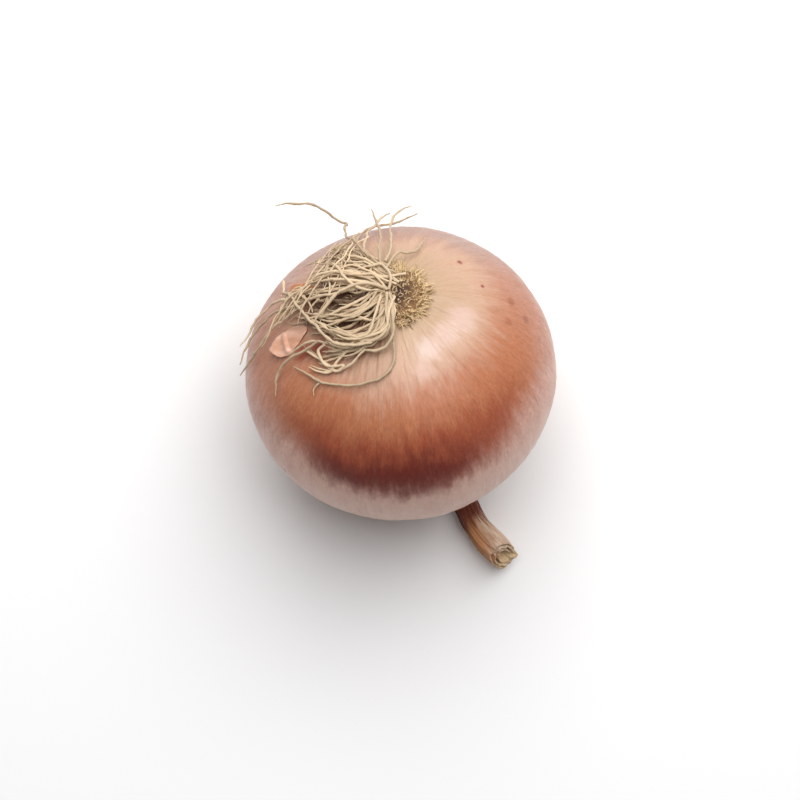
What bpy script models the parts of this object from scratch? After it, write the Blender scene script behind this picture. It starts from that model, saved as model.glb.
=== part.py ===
"""A whole brown onion lying on its shoulder, root end up, as separate solids for its separate pieces.

Frame: metres, +Z up. The origin is the centre of the small flat spot that the bulb rests on.
-Y is the front, where the dry neck pokes out along the ground, and +X is the right.
Run with: blender --background --python part.py

Lengths are in millimetres and angles in degrees in the constants below, and every mesh is written in metres.
Places on the skin are given as (turn, drop, lift):
    turn  the angle round the bulb's axis, 0 at the right and 90 at the back,
    drop  the angle down from the root end, 0 at the root plate and 180 at the neck,
    lift  the height above the skin.
"""
import math

import bmesh
import bpy
from mathutils import Matrix, Vector, noise

MM = 0.001

# Driving sizes of the bulb
BULB_RADIUS = 37.5          # at the widest belt, so 75 mm across
ROOT_HALF = 30.5            # from the belt's plane up to the root plate
NECK_HALF = 34.2            # from the belt's plane down to the neck
LEAN = 34.0                 # how far the axis leans back from upright
LEAN_HEADING = 98.4         # heading of that lean, from +X towards +Y
FLAT_DEPTH = 0.55           # how much the flat spot takes off the lowest point
BULB_SIDES = 64
BULB_RINGS = 34
PLEAT_DEPTH = 0.25          # shallow pleats that run into the root plate
PLEAT_COUNT = 16

# Gaps that touching pieces keep
GAP = 0.3

# Root plate: a low dome of cork on the root end
PLATE_DROP = 12.0           # how far down the skin its rim reaches
PLATE_HEIGHT = 1.7
PLATE_RIM = 0.5
PLATE_FRAY = 0.9            # how far, in degrees, the frayed rim swings in and out
PLATE_ROUGH = 0.12          # how far its top is uneven near the rim
PLATE_SIDES = 44
PLATE_RINGS = 7

# Matted roots: the dense mat that covers the plate's left side and the skin beyond it
MAT_OUTLINE = [
    (112, 30), (130, 37), (149, 40), (167, 39), (191, 37), (212, 35),
    (232, 30), (257, 24), (277, 17), (322, 5), (75, 9), (95, 21),
]
MAT_BOTTOM = 1.3
MAT_OVER_PLATE = 0.35       # clearance of the mat's underside over the plate
MAT_PAST_PLATE = 6.0        # how far past the plate's rim the mat comes down to the skin
MAT_STEP = 4.0              # over how much drop it comes down
MAT_RIM = 0.8
MAT_HEIGHT = 4.6
MAT_LUMP = 0.9              # bundles of roots that swell the mat's top
MAT_STRAND = 0.16           # single roots that ridge it
MAT_STRANDS = 15
MAT_SIDES = 60
MAT_RINGS = 10

# Torn outer skin on the left: (outline, thickness, free-edge curl, heading of the free edge)
SKIN_PATCHES = {
    "torn_skin": ([(182, 56), (188, 48), (196, 49), (203, 41), (211, 33), (200, 29), (189, 38), (180, 47)],
                  0.35, 1.2, 195),
    "skin_flake": ([(165, 52), (170, 46), (164, 42), (155, 43), (153, 48), (158, 53)], 0.3, 0.9, 160),
    "skin_tip": ([(131, 45), (128, 39), (121, 39), (119, 42), (124, 47)], 0.35, 1.3, 125),
}
PATCH_SIDES = 28
PATCH_REST = 0.35           # how far a flap stays off the skin at its middle
PATCH_RINGS = 5

# Dry neck: centre line as (across, front-back, height over the ground), half width and half thickness
NECK_ROUTE = [
    (3.5, -22.5, 6, 4.5, 4),
    (4, -24.5, 4, 3.5, 3.5),
    (6.5, -26.5, 3.5, 3.5, 3),
    (11.5, -30.5, 3, 3, 2.8),
    (16.5, -35.5, 3, 3, 2.8),
    (19, -40.5, 4, 3, 3),
    (23, -45.5, 5, 3.5, 3),
    (27.5, -50, 7, 3.5, 3.5),
]
NECK_SIDES = 20
NECK_STEPS = 26
NECK_FOLDS = 5              # papery folds that run along it
NECK_FOLD_DEPTH = 0.22
NECK_TWIST = 1.5            # how far the folds turn round it, in radians
NECK_TORN = 0.1             # the share of its length that the torn end takes up
NECK_RAGGED = 0.7           # how far the torn end goes in and out
NECK_HOLLOW = 0.9           # how far the torn end is hollow

# Loose roots: the ones that leave the mat, as hand-set points on the skin
ROOT_RADIUS = 0.4
ROOT_SIDES_RESOLUTION = 1   # bevel resolution, 6 sides
ROOT_STEP = 1.9             # spacing of the points along a root
ROOTS = {
    "root_long_back": [(118, 34, 3), (114, 42, 3.5), (111, 50, 3), (113, 53, 4), (117, 52, 7.5), (121, 51, 10.5),
                       (126, 52, 12.5), (133, 52, 15)],
    "root_upright": [(97, 24, 3.5), (98, 32, 4.5), (99, 41, 6)],
    "root_hook": [(107, 30, 2), (103, 36, 2), (98, 43, 2), (94, 48, 3), (91, 46, 4)],
    "root_fork_right": [(113, 32, 1.5), (109, 38, 1), (101, 45, 1), (92, 48, 1), (85, 50, 2), (79, 50, 3.5)],
    "root_fork_low": [(88, 21, 2), (90, 29, 1.5), (90, 37, 2), (88, 43, 4), (81, 45, 6)],
    "root_right": [(76, 16, 3), (70, 18, 2), (66, 24, 1), (67, 34, 1)],
    "root_left_high": [(171, 41, 2), (170, 48, 2), (173, 57, 2), (177, 63, 2), (180, 67, 3)],
    "root_left_mid": [(177, 41, 2), (177, 48, 2), (180, 58, 2), (184, 64, 2.5), (188, 68, 3)],
    "root_left_low": [(184, 40, 2), (184, 46, 2), (188, 55, 1.5), (188, 64, 1), (189, 74, 2)],
    "root_left_bottom": [(211, 38, 2.5), (208, 43, 2.5), (207, 49, 2), (213, 58, 1.5)],
    "root_loop_big": [(275, 22, 1.5), (272, 28, 1), (262, 34, 1), (245, 38, 1), (228, 41, 1), (211, 44, 1)],
    "root_loop_inner": [(243, 30, 1.5), (236, 34, 1), (227, 37, 1), (219, 39, 1)],
    "root_stub_low": [(229, 43, 1), (228, 45, 1), (230, 47, 1)],
}

# Colours, roughness: dry onion skin, cork, straw
SKIN_COLOUR = (0.56, 0.22, 0.12)
TORN_COLOUR = (0.72, 0.42, 0.27)
TIP_COLOUR = (0.30, 0.10, 0.07)
PLATE_COLOUR = (0.44, 0.32, 0.17)
ROOT_COLOUR = (0.60, 0.46, 0.27)
NECK_COLOUR = (0.38, 0.26, 0.16)


def bulb_axis():
    """The direction from the bulb's centre to its root end."""
    lean, heading = math.radians(LEAN), math.radians(LEAN_HEADING)
    flat = math.sin(lean)
    return Vector((flat * math.cos(heading), flat * math.sin(heading), math.cos(lean)))


AXIS = bulb_axis()
RIGHT = (Vector((1, 0, 0)) - AXIS * AXIS.x).normalized()
BACK = AXIS.cross(RIGHT)


def lowest_point():
    """The lowest point of the untrimmed bulb, from its centre: the neck half is half an ellipsoid."""
    up_across = Vector((0, 0, 1)) - AXIS * AXIS.z
    across = -up_across * BULB_RADIUS ** 2
    along = -AXIS * AXIS.z * NECK_HALF ** 2
    reach = math.sqrt((up_across.length * BULB_RADIUS) ** 2 + (AXIS.z * NECK_HALF) ** 2)
    return (across + along) / reach


LOWEST = lowest_point()
CENTRE = Vector((-LOWEST.x, -LOWEST.y, -LOWEST.z - FLAT_DEPTH))


def on_skin(turn, drop, lift):
    """The point at (turn, drop) on the bulb, lifted off the skin, in millimetres."""
    turn, drop = math.radians(turn), math.radians(drop)
    half = ROOT_HALF if drop < math.pi / 2 else NECK_HALF
    outward, along = BULB_RADIUS * math.sin(drop), half * math.cos(drop)
    tilt = Vector((math.sin(drop) / BULB_RADIUS, math.cos(drop) / half)).normalized()
    outward, along = outward + tilt[0] * lift, along + tilt[1] * lift
    around = RIGHT * math.cos(turn) + BACK * math.sin(turn)
    return CENTRE + around * outward + AXIS * along


def pleat(turn, drop):
    """How far the skin sinks in a pleat: pleats gather at the root plate and fade out by the belt."""
    fade = max(0.0, 1.0 - abs(drop - 20) / 32)
    return -PLEAT_DEPTH * fade * (0.5 + 0.5 * math.sin(math.radians(turn) * PLEAT_COUNT))


def on_curve(a, b, c, d, t):
    """The point at a share t of the way from b to c on the smooth curve through four points."""
    return 0.5 * (2 * b + (c - a) * t + (2 * a - 5 * b + 4 * c - d) * t ** 2 + (3 * b - 3 * c + d - a) * t ** 3)


def smooth_route(points, step):
    """Points about one step apart on a smooth curve through the given ones."""
    points = [Vector(p) for p in points]
    ends = [points[0] * 2 - points[1], *points, points[-1] * 2 - points[-2]]
    route = []
    for a, b, c, d in zip(ends, ends[1:], ends[2:], ends[3:]):
        parts = max(1, round((c - b).length / step))
        route += [on_curve(a, b, c, d, i / parts) for i in range(parts)]
    route.append(points[-1])
    return route


def material(name, colour, roughness):
    """A plain Principled material."""
    made = bpy.data.materials.new(name)
    made.use_nodes = True
    surface = made.node_tree.nodes["Principled BSDF"]
    surface.inputs["Base Color"].default_value = (*colour, 1)
    surface.inputs["Roughness"].default_value = roughness
    surface.inputs["Metallic"].default_value = 0
    return made


def add_object(name, data, finish):
    """Links a mesh or a curve into the scene as one named object."""
    obj = bpy.data.objects.new(name, data)
    data.materials.append(finish)
    bpy.context.scene.collection.objects.link(obj)
    return obj


def mesh_object(name, bm, finish):
    """Writes a bmesh made in millimetres as one named object in metres."""
    bmesh.ops.recalc_face_normals(bm, faces=bm.faces)
    bm.transform(Matrix.Scale(MM, 4))
    mesh = bpy.data.meshes.new(name)
    bm.to_mesh(mesh)
    bm.free()
    mesh.shade_smooth()
    mesh.set_sharp_from_angle(angle=math.radians(40))
    return add_object(name, mesh, finish)


def join_rings(bm, rings):
    """Faces between each ring of vertices and the next."""
    for lower, upper in zip(rings, rings[1:]):
        for i in range(len(lower)):
            j = (i + 1) % len(lower)
            bm.faces.new((lower[i], lower[j], upper[j], upper[i]))


def close_end(bm, ring, tip):
    """A fan of triangles from a ring to one point."""
    for i in range(len(ring)):
        bm.faces.new((ring[i], ring[(i + 1) % len(ring)], tip))


def make_bulb():
    """The bulb: two half ellipsoids that meet at the belt, lightly pleated, cut flat where it rests."""
    bm = bmesh.new()
    rings = []
    for k in range(1, BULB_RINGS):
        drop = 180 * k / BULB_RINGS
        turns = [360 * i / BULB_SIDES for i in range(BULB_SIDES)]
        rings.append([bm.verts.new(on_skin(t, drop, pleat(t, drop))) for t in turns])
    join_rings(bm, rings)
    close_end(bm, rings[0], bm.verts.new(on_skin(0, 0, 0)))
    close_end(bm, rings[-1], bm.verts.new(on_skin(0, 180, 0)))
    everything = bm.verts[:] + bm.edges[:] + bm.faces[:]
    cut = bmesh.ops.bisect_plane(bm, geom=everything, plane_co=(0, 0, 0), plane_no=(0, 0, -1), clear_outer=True)
    rim = [item for item in cut["geom_cut"] if isinstance(item, bmesh.types.BMEdge)]
    bmesh.ops.contextual_create(bm, geom=rim)
    return mesh_object("bulb", bm, material("onion_skin", SKIN_COLOUR, 0.38))


def skin_slab(bm, centre, reach, bottom, top, sides, rings):
    """A closed slab that follows the skin, laid out as a flat disc of (turn, drop).

    reach gives the outline's distance for each heading; bottom and top give the lifts at a share of that reach.
    """
    middle = Vector(centre)

    def place(heading, share, lift):
        flat = middle + Vector((math.cos(heading), math.sin(heading))) * reach(heading) * share
        turn, drop = math.degrees(math.atan2(flat.y, flat.x)), flat.length
        return bm.verts.new(on_skin(turn, drop, lift(turn, drop, heading, share)))

    headings = [2 * math.pi * i / sides for i in range(sides)]
    shares = [math.sin(math.pi / 2 * k / rings) for k in range(1, rings + 1)]
    under = [[place(h, s, bottom) for h in headings] for s in shares]
    over = [[place(h, s, top) for h in headings] for s in reversed(shares)]
    join_rings(bm, under + over)
    close_end(bm, under[0], place(0, 0, bottom))
    close_end(bm, over[-1], place(0, 0, top))


def outline_reach(centre, outline):
    """The distance from a centre to a smooth closed outline of (turn, drop) points, for any heading."""
    middle = Vector(centre)
    flat = [Vector((d * math.cos(math.radians(t)), d * math.sin(math.radians(t)))) - middle for t, d in outline]
    known = sorted((math.atan2(p.y, p.x) % (2 * math.pi), p.length) for p in flat)

    def reach(heading):
        heading %= 2 * math.pi
        later = [(a + 2 * math.pi, r) for a, r in known[:1]]
        earlier = [(known[-1][0] - 2 * math.pi, known[-1][1])]
        around = earlier + known + later
        for (a, first), (b, second) in zip(around, around[1:]):
            if a <= heading <= b:
                t = (heading - a) / (b - a)
                t = t * t * (3 - 2 * t)
                return first + (second - first) * t
        return known[0][1]

    return reach


def flat_centre(outline):
    """The middle of an outline of (turn, drop) points, laid out flat."""
    flat = [(d * math.cos(math.radians(t)), d * math.sin(math.radians(t))) for t, d in outline]
    return tuple(sum(axis) / len(flat) for axis in zip(*flat))


def plate_top(drop):
    """The height of the plate's dome over the skin."""
    inside = max(0.0, 1 - (drop / PLATE_DROP) ** 2)
    return GAP + PLATE_RIM + PLATE_HEIGHT * inside


def make_root_plate():
    """The corky root plate: a low dome with a frayed rim."""
    bm = bmesh.new()

    def reach(heading):
        return PLATE_DROP + PLATE_FRAY * math.sin(heading * 11) * math.cos(heading * 4)

    def bottom(turn, drop, heading, share):
        return GAP

    def top(turn, drop, heading, share):
        return plate_top(drop) + PLATE_ROUGH * math.sin(heading * 13 + share * 9) * share

    skin_slab(bm, (0, 0), reach, bottom, top, PLATE_SIDES, PLATE_RINGS)
    return mesh_object("root_plate", bm, material("root_plate_cork", PLATE_COLOUR, 0.9))


def make_root_mat():
    """The matted roots, as one lumpy closed solid that stays clear of the plate and the skin."""
    bm = bmesh.new()
    centre = flat_centre(MAT_OUTLINE)

    def bottom(turn, drop, heading, share):
        over_plate = plate_top(drop) + PLATE_ROUGH + MAT_OVER_PLATE
        blend = min(1.0, max(0.0, (PLATE_DROP + MAT_PAST_PLATE - drop) / MAT_STEP))
        return MAT_BOTTOM + (max(over_plate, MAT_BOTTOM) - MAT_BOTTOM) * blend

    def top(turn, drop, heading, share):
        crown = max(0.0, 1 - share ** 2) ** 0.5
        place = on_skin(turn, drop, 0)
        lump = noise.noise(place / 5) * MAT_LUMP
        strand = math.sin(heading * MAT_STRANDS + noise.noise(place / 7) * 4) * MAT_STRAND * share
        swell = MAT_HEIGHT - MAT_RIM + lump + strand
        return bottom(turn, drop, heading, share) + MAT_RIM + swell * crown

    skin_slab(bm, centre, outline_reach(centre, MAT_OUTLINE), bottom, top, MAT_SIDES, MAT_RINGS)
    return mesh_object("root_mat", bm, material("dry_root_mat", ROOT_COLOUR, 0.85))


def make_skin_patch(name, outline, thickness, curl, free_heading, finish):
    """A torn flap of outer skin that lifts towards its free edge."""
    bm = bmesh.new()
    centre = flat_centre(outline)
    free = math.radians(free_heading)

    def bottom(turn, drop, heading, share):
        return PATCH_REST + curl * max(0.0, math.cos(heading - free)) * share ** 3

    def top(turn, drop, heading, share):
        return bottom(turn, drop, heading, share) + thickness

    skin_slab(bm, centre, outline_reach(centre, outline), bottom, top, PATCH_SIDES, PATCH_RINGS)
    return mesh_object(name, bm, finish)


def make_neck():
    """The dry neck: bent forward along the ground, folded lengthwise, torn at its end."""
    bm = bmesh.new()
    route = [Vector(p[:3]) for p in NECK_ROUTE]
    sizes = [Vector((p[3], p[4], 0)) for p in NECK_ROUTE]
    spread = [i * (len(route) - 1) / NECK_STEPS for i in range(NECK_STEPS + 1)]
    line = [between(route, s) for s in spread]
    width = [between(sizes, s) for s in spread]
    rings = []
    for k, (middle, half) in enumerate(zip(line, width)):
        ahead = line[min(k + 1, NECK_STEPS)] - line[max(k - 1, 0)]
        ahead = (-AXIS if k == 0 else ahead).normalized()
        side = ahead.cross(Vector((0, 0, 1))).normalized()
        upward = side.cross(ahead)
        share = k / NECK_STEPS
        ring = []
        for i in range(NECK_SIDES):
            angle = 2 * math.pi * i / NECK_SIDES
            fold = 1 - NECK_FOLD_DEPTH * share * (0.5 - 0.5 * math.cos(angle * NECK_FOLDS + share * NECK_TWIST)) / 2
            offset = side * math.cos(angle) * half.x + upward * math.sin(angle) * half.y
            torn = NECK_RAGGED * math.sin(angle * 3 + 1) * max(0.0, share - 1 + NECK_TORN) / NECK_TORN
            ring.append(bm.verts.new(middle + offset * fold + ahead * torn))
        rings.append(ring)
    join_rings(bm, rings)
    close_end(bm, rings[0], bm.verts.new(line[0]))
    close_end(bm, rings[-1], bm.verts.new(line[-1] - (line[-1] - line[-2]).normalized() * NECK_HOLLOW))
    return mesh_object("neck", bm, material("dry_neck", NECK_COLOUR, 0.8))


def between(values, place):
    """The smooth value at a fractional place in a list of vectors."""
    i = min(int(place), len(values) - 2)
    return on_curve(*(values[min(max(j, 0), len(values) - 1)] for j in (i - 1, i, i + 1, i + 2)), place - i)


def make_root(name, points, finish):
    """One loose root: a round tube on a smooth line through its points, with closed ends."""
    route = smooth_route([on_skin(*p) for p in points], ROOT_STEP)
    curve = bpy.data.curves.new(name, "CURVE")
    curve.dimensions = "3D"
    curve.bevel_depth = ROOT_RADIUS * MM
    curve.bevel_resolution = ROOT_SIDES_RESOLUTION
    curve.use_fill_caps = True
    spline = curve.splines.new("POLY")
    spline.points.add(len(route) - 1)
    for point, place in zip(spline.points, route):
        point.co = (*(place * MM), 1)
    return add_object(name, curve, finish)


def main():
    """Clears the scene and builds the onion's pieces."""
    for obj in list(bpy.data.objects):
        bpy.data.objects.remove(obj)
    make_bulb()
    make_neck()
    make_root_plate()
    make_root_mat()
    torn = material("torn_skin_pale", TORN_COLOUR, 0.4)
    dark = material("torn_skin_dark", TIP_COLOUR, 0.5)
    for name, (outline, thickness, curl, heading) in SKIN_PATCHES.items():
        make_skin_patch(name, outline, thickness, curl, heading, dark if name == "skin_tip" else torn)
    straw = material("dry_root", ROOT_COLOUR, 0.85)
    for name, points in ROOTS.items():
        make_root(name, points, straw)


main()
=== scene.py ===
"""The looks of a whole brown onion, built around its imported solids.

The onion lies on its shoulder, root end up. Its pieces are the pleated bulb in its dry scale, the corky
root plate with its frayed rim, the matted and the loose dry roots, three torn bits of outer scale and the
bent neck.

Lengths are in millimetres and angles in degrees wherever a name or a comment says nothing else; meshes are in
metres. Places on the bulb are (turn, drop, lift): turn goes round the axis from 0 at the right over 90 at the
back, drop goes down from the root plate at 0 to the neck at 180, and lift is the height above the skin.
"""
from __future__ import annotations

import logging
import math
import random
from dataclasses import dataclass, field
from enum import Enum
from typing import Any, Sequence

import bpy
import numpy as np
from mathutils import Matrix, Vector, noise


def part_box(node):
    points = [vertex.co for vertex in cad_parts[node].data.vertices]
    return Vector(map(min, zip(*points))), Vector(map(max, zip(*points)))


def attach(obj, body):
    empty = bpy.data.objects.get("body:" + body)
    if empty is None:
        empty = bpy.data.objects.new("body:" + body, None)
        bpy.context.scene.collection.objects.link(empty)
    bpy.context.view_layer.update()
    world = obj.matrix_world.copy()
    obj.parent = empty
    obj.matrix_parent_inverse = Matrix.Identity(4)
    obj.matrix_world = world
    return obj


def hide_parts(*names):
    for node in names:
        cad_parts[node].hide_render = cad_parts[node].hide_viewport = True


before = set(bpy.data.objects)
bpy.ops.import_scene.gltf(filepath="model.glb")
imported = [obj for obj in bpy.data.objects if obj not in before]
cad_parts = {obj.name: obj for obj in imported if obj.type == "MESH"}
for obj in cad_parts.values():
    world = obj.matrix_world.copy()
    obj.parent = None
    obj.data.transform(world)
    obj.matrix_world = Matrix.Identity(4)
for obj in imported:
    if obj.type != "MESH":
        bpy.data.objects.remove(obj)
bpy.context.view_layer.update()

MM = 0.001
BODY = "root"
BELT_RADIUS = 37.5  # of the bulb, at its widest

# A Mix node's colour sockets, by number, and the settings of nodes that mix colours or rise smoothly
FACTOR, FIRST, SECOND, MIXED = 0, 6, 7, 2
COLOURS = {"data_type": "RGBA"}
SMOOTH = {"interpolation_type": "SMOOTHSTEP"}
NOISE_TO_UNIT = 4.0  # a noise swings about an eighth to either side of its middle; this makes it a half

Stop = tuple[float, float, float]
Linear = tuple[float, float, float, float]

logging.basicConfig(level=logging.INFO, format="%(message)s")
log = logging.getLogger("onion")


# ---------------------------------------------------------------- small helpers


def linear(code: str) -> Linear:
    """Turns an sRGB hex colour into the linear colour that shaders take.

    Args:
        code: six hex digits, such as "c98a6d".

    Returns:
        Linear red, green and blue, and an alpha of 1.
    """
    parts = [int(code[i:i + 2], 16) / 255 for i in (0, 2, 4)]
    r, g, b = [p / 12.92 if p <= 0.04045 else ((p + 0.055) / 1.055) ** 2.4 for p in parts]
    return r, g, b, 1.0


def add_node(tree: bpy.types.NodeTree, kind: str, links: dict[Any, Any] | None = None,
             **settings: Any) -> Any:
    """Adds one node with its settings and links.

    Args:
        tree: the shader or geometry tree to add to.
        kind: the node's type name.
        links: input name or number, to an output socket to link or a value to set.
        settings: properties of the node itself, such as operation or data_type.

    Returns:
        The new node.
    """
    node = tree.nodes.new(kind)
    for name, value in settings.items():
        setattr(node, name, value)
    for name, value in (links or {}).items():
        socket = node.inputs[name]
        if isinstance(value, bpy.types.NodeSocket):
            tree.links.new(value, socket)
        else:
            socket.default_value = value
    return node


def new_object(name: str, points: Sequence[Sequence[float]], edges: Sequence[Sequence[int]],
               faces: Sequence[Sequence[int]]) -> bpy.types.Object:
    """Makes a mesh object from points in millimetres.

    Args:
        name: the object's name.
        points: the vertices.
        edges: vertex pairs, for a wire that a node tree turns into tubes.
        faces: vertex loops, seen from outside anticlockwise.

    Returns:
        The object, linked into the scene at the origin.
    """
    mesh = bpy.data.meshes.new(name)
    mesh.from_pydata([tuple(c * MM for c in p) for p in points], edges, faces)
    mesh.shade_smooth()
    obj = bpy.data.objects.new(name, mesh)
    bpy.context.scene.collection.objects.link(obj)
    return obj


def set_attribute(obj: bpy.types.Object, name: str, values: np.ndarray) -> None:
    """Stores one number or one vector for each vertex.

    Args:
        obj: a mesh object.
        name: the attribute's name.
        values: an array with a row for each vertex, of one or of three numbers.
    """
    values = np.asarray(values, np.float32)
    kind, slot = ("FLOAT", "value") if values.ndim == 1 else ("FLOAT_VECTOR", "vector")
    attribute = obj.data.attributes.new(name, kind, "POINT")
    attribute.data.foreach_set(slot, values.ravel())


def run_tree(obj: bpy.types.Object, tree: bpy.types.NodeTree, values: dict[str, Any]) -> bpy.types.Object:
    """Runs a geometry tree on an object and keeps the result as its plain mesh.

    Args:
        obj: the object that the tree reads.
        tree: the geometry tree.
        values: input name to value. Each is set by its socket's identifier.

    Returns:
        The same object, with the tree's mesh and no modifier.
    """
    modifier = obj.modifiers.new(tree.name, "NODES")
    modifier.node_group = tree
    for item in tree.interface.items_tree:
        if item.item_type == "SOCKET" and item.in_out == "INPUT" and item.name in values:
            modifier[item.identifier] = values[item.name]
    depsgraph = bpy.context.evaluated_depsgraph_get()
    made = bpy.data.meshes.new_from_object(obj.evaluated_get(depsgraph), preserve_all_data_layers=True,
                                           depsgraph=depsgraph)
    obj.modifiers.clear()
    obj.data = made
    return obj


def new_tree(name: str, inputs: dict[str, tuple[str, Any]]) -> tuple[Any, Any, Any]:
    """Starts a geometry tree with its named inputs.

    Args:
        name: the tree's name.
        inputs: input name to (socket type, default value).

    Returns:
        The tree, its Group Input node and its Group Output node.
    """
    tree = bpy.data.node_groups.new(name, "GeometryNodeTree")
    tree.interface.new_socket("Geometry", in_out="INPUT", socket_type="NodeSocketGeometry")
    for label, (kind, default) in inputs.items():
        socket = tree.interface.new_socket(label, in_out="INPUT", socket_type=kind)
        if default is not None:
            socket.default_value = default
    tree.interface.new_socket("Geometry", in_out="OUTPUT", socket_type="NodeSocketGeometry")
    return tree, tree.nodes.new("NodeGroupInput"), tree.nodes.new("NodeGroupOutput")


def finish_tree(tree: Any, shape: Any, material: Any, end: Any) -> None:
    """Ends a geometry tree in Realize Instances and Set Material.

    Args:
        tree: the tree.
        shape: the geometry socket to finish.
        material: the material socket.
        end: the Group Output node.
    """
    real = add_node(tree, "GeometryNodeRealizeInstances", {"Geometry": shape})
    dressed = add_node(tree, "GeometryNodeSetMaterial", {"Geometry": real.outputs[0], "Material": material})
    tree.links.new(dressed.outputs[0], end.inputs[0])


def new_material(name: str) -> tuple[bpy.types.Material, bpy.types.NodeTree]:
    """Starts a material with an empty tree.

    Args:
        name: the material's name.

    Returns:
        The material and its tree.
    """
    material = bpy.data.materials.new(name)
    material.use_nodes = True
    material.node_tree.nodes.clear()
    return material, material.node_tree


def finish_material(tree: bpy.types.NodeTree, look: dict[str, Any]) -> None:
    """Ends a material's tree in a Principled BSDF.

    Args:
        tree: the material's tree.
        look: the shader's input name to a value or a socket.
    """
    surface = add_node(tree, "ShaderNodeBsdfPrincipled", look)
    add_node(tree, "ShaderNodeOutputMaterial", {"Surface": surface.outputs[0]})


def ring_faces(rings: int, sides: int, start: int = 0, turned: bool = False) -> list[tuple[int, ...]]:
    """Joins rings of points with quads.

    Args:
        rings: how many rings there are.
        sides: how many points each ring has.
        start: the number of the first ring's first point.
        turned: whether the quads face the other way.

    Returns:
        The faces.
    """
    faces = []
    for ring in range(rings - 1):
        for side in range(sides):
            a = start + ring * sides + side
            b = start + ring * sides + (side + 1) % sides
            faces.append((a, b, b + sides, a + sides) if turned else (a, a + sides, b + sides, b))
    return faces


def cap_faces(tip: int, start: int, sides: int, turned: bool = False) -> list[tuple[int, ...]]:
    """Closes a ring of points with triangles to one point.

    Args:
        tip: the number of that point.
        start: the number of the ring's first point.
        sides: how many points the ring has.
        turned: whether the triangles face the other way.

    Returns:
        The faces.
    """
    rim = [(start + side, start + (side + 1) % sides) for side in range(sides)]
    return [(tip, b, a) if turned else (tip, a, b) for a, b in rim]


def flat_way(heading: float) -> Vector:
    """The unit vector at an angle on a flat map."""
    return Vector((math.cos(math.radians(heading)), math.sin(math.radians(heading)), 0))


def claim(obj: bpy.types.Object, slot: str, *nodes: str) -> bpy.types.Object:
    """Makes a finished piece ride on the onion and stand for its CAD nodes.

    Args:
        obj: the finished piece.
        slot: the record's material slot. Not used.
        nodes: the CAD nodes that it stands for.

    Returns:
        The same object.
    """
    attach(obj, BODY)
    if nodes:
        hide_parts(*nodes)
    log.info("%s: %d vertices", obj.name, len(obj.data.vertices))
    return obj


def smooth_line(stops: Sequence[Sequence[float]], step: float) -> list[Vector]:
    """Reads points from a smooth curve through the given ones.

    Args:
        stops: the points to pass through.
        step: the distance between the points returned.

    Returns:
        Points about one step apart.
    """
    known = [Vector(s) for s in stops]
    ends = [known[0] * 2 - known[1], *known, known[-1] * 2 - known[-2]]
    line: list[Vector] = []
    for a, b, c, d in zip(ends, ends[1:], ends[2:], ends[3:]):
        parts = max(1, round((c - b).length / step))
        for i in range(parts):
            t = i / parts
            line.append(0.5 * (2 * b + (c - a) * t + (2 * a - 5 * b + 4 * c - d) * t ** 2
                               + (3 * b - 3 * c + d - a) * t ** 3))
    line.append(known[-1])
    return line


def ease(value: Any, low: float, high: float) -> Any:
    """Rises smoothly from 0 to 1.

    Args:
        value: a number or an array.
        low: where it starts to rise.
        high: where it reaches 1.

    Returns:
        A number or an array, as given.
    """
    t = np.clip((value - low) / (high - low), 0, 1)
    return t * t * (3 - 2 * t)


# ---------------------------------------------------------------- the bulb's form


@dataclass
class BulbForm:
    """The bulb's bare shape: two half ellipsoids on one leaning axis, placed in the CAD bulb's box."""

    radius: float = BELT_RADIUS
    root_half: float = 30.5
    neck_half: float = 34.2
    lean: float = 34.0
    heading: float = 98.4
    axis: Vector = field(init=False)
    right: Vector = field(init=False)
    back: Vector = field(init=False)
    centre: Vector = field(init=False)

    def __post_init__(self) -> None:
        """Works out the axis and puts the centre where the CAD bulb's top, right and back sides say."""
        lean, heading = math.radians(self.lean), math.radians(self.heading)
        flat = math.sin(lean)
        self.axis = Vector((flat * math.cos(heading), flat * math.sin(heading), math.cos(lean)))
        self.right = (Vector((1, 0, 0)) - self.axis * self.axis.x).normalized()
        self.back = self.axis.cross(self.right)
        low, high = (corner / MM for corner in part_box("bulb"))
        self.centre = Vector((low.x + self.reach(Vector((-1, 0, 0))),
                              high.y - self.reach(Vector((0, 1, 0))),
                              high.z - self.reach(Vector((0, 0, 1)))))

    def reach(self, way: Vector) -> float:
        """How far the bulb reaches from its centre in a direction.

        Args:
            way: a unit vector.

        Returns:
            The distance.
        """
        along = way.dot(self.axis)
        half = self.root_half if along > 0 else self.neck_half
        return math.hypot((way - self.axis * along).length * self.radius, along * half)

    def places(self, turn: np.ndarray, drop: np.ndarray, lift: Any = 0.0) -> np.ndarray:
        """Points on the skin, for whole arrays.

        Args:
            turn: turns in radians.
            drop: drops in radians.
            lift: heights above the skin.

        Returns:
            One row of three coordinates for each place.
        """
        half = np.where(drop < math.pi / 2, self.root_half, self.neck_half)
        outward, along = np.sin(drop) / self.radius, np.cos(drop) / half
        size = np.hypot(outward, along)
        out = self.radius * np.sin(drop) + lift * outward / size
        up = half * np.cos(drop) + lift * along / size
        around = np.outer(np.cos(turn), self.right) + np.outer(np.sin(turn), self.back)
        return np.array(self.centre) + around * out[:, None] + np.outer(up, self.axis)

    def on_skin(self, turn: float, drop: float, lift: float) -> Vector:
        """One point on or over the skin, from degrees and millimetres."""
        place = self.places(np.radians([turn]), np.radians([drop]), np.array([lift]))
        return Vector(place[0])

    def outward(self, turn: float, drop: float) -> Vector:
        """The direction away from the skin at a place in degrees."""
        return (self.on_skin(turn, drop, 1) - self.on_skin(turn, drop, 0)).normalized()


# ---------------------------------------------------------------- finishes


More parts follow.
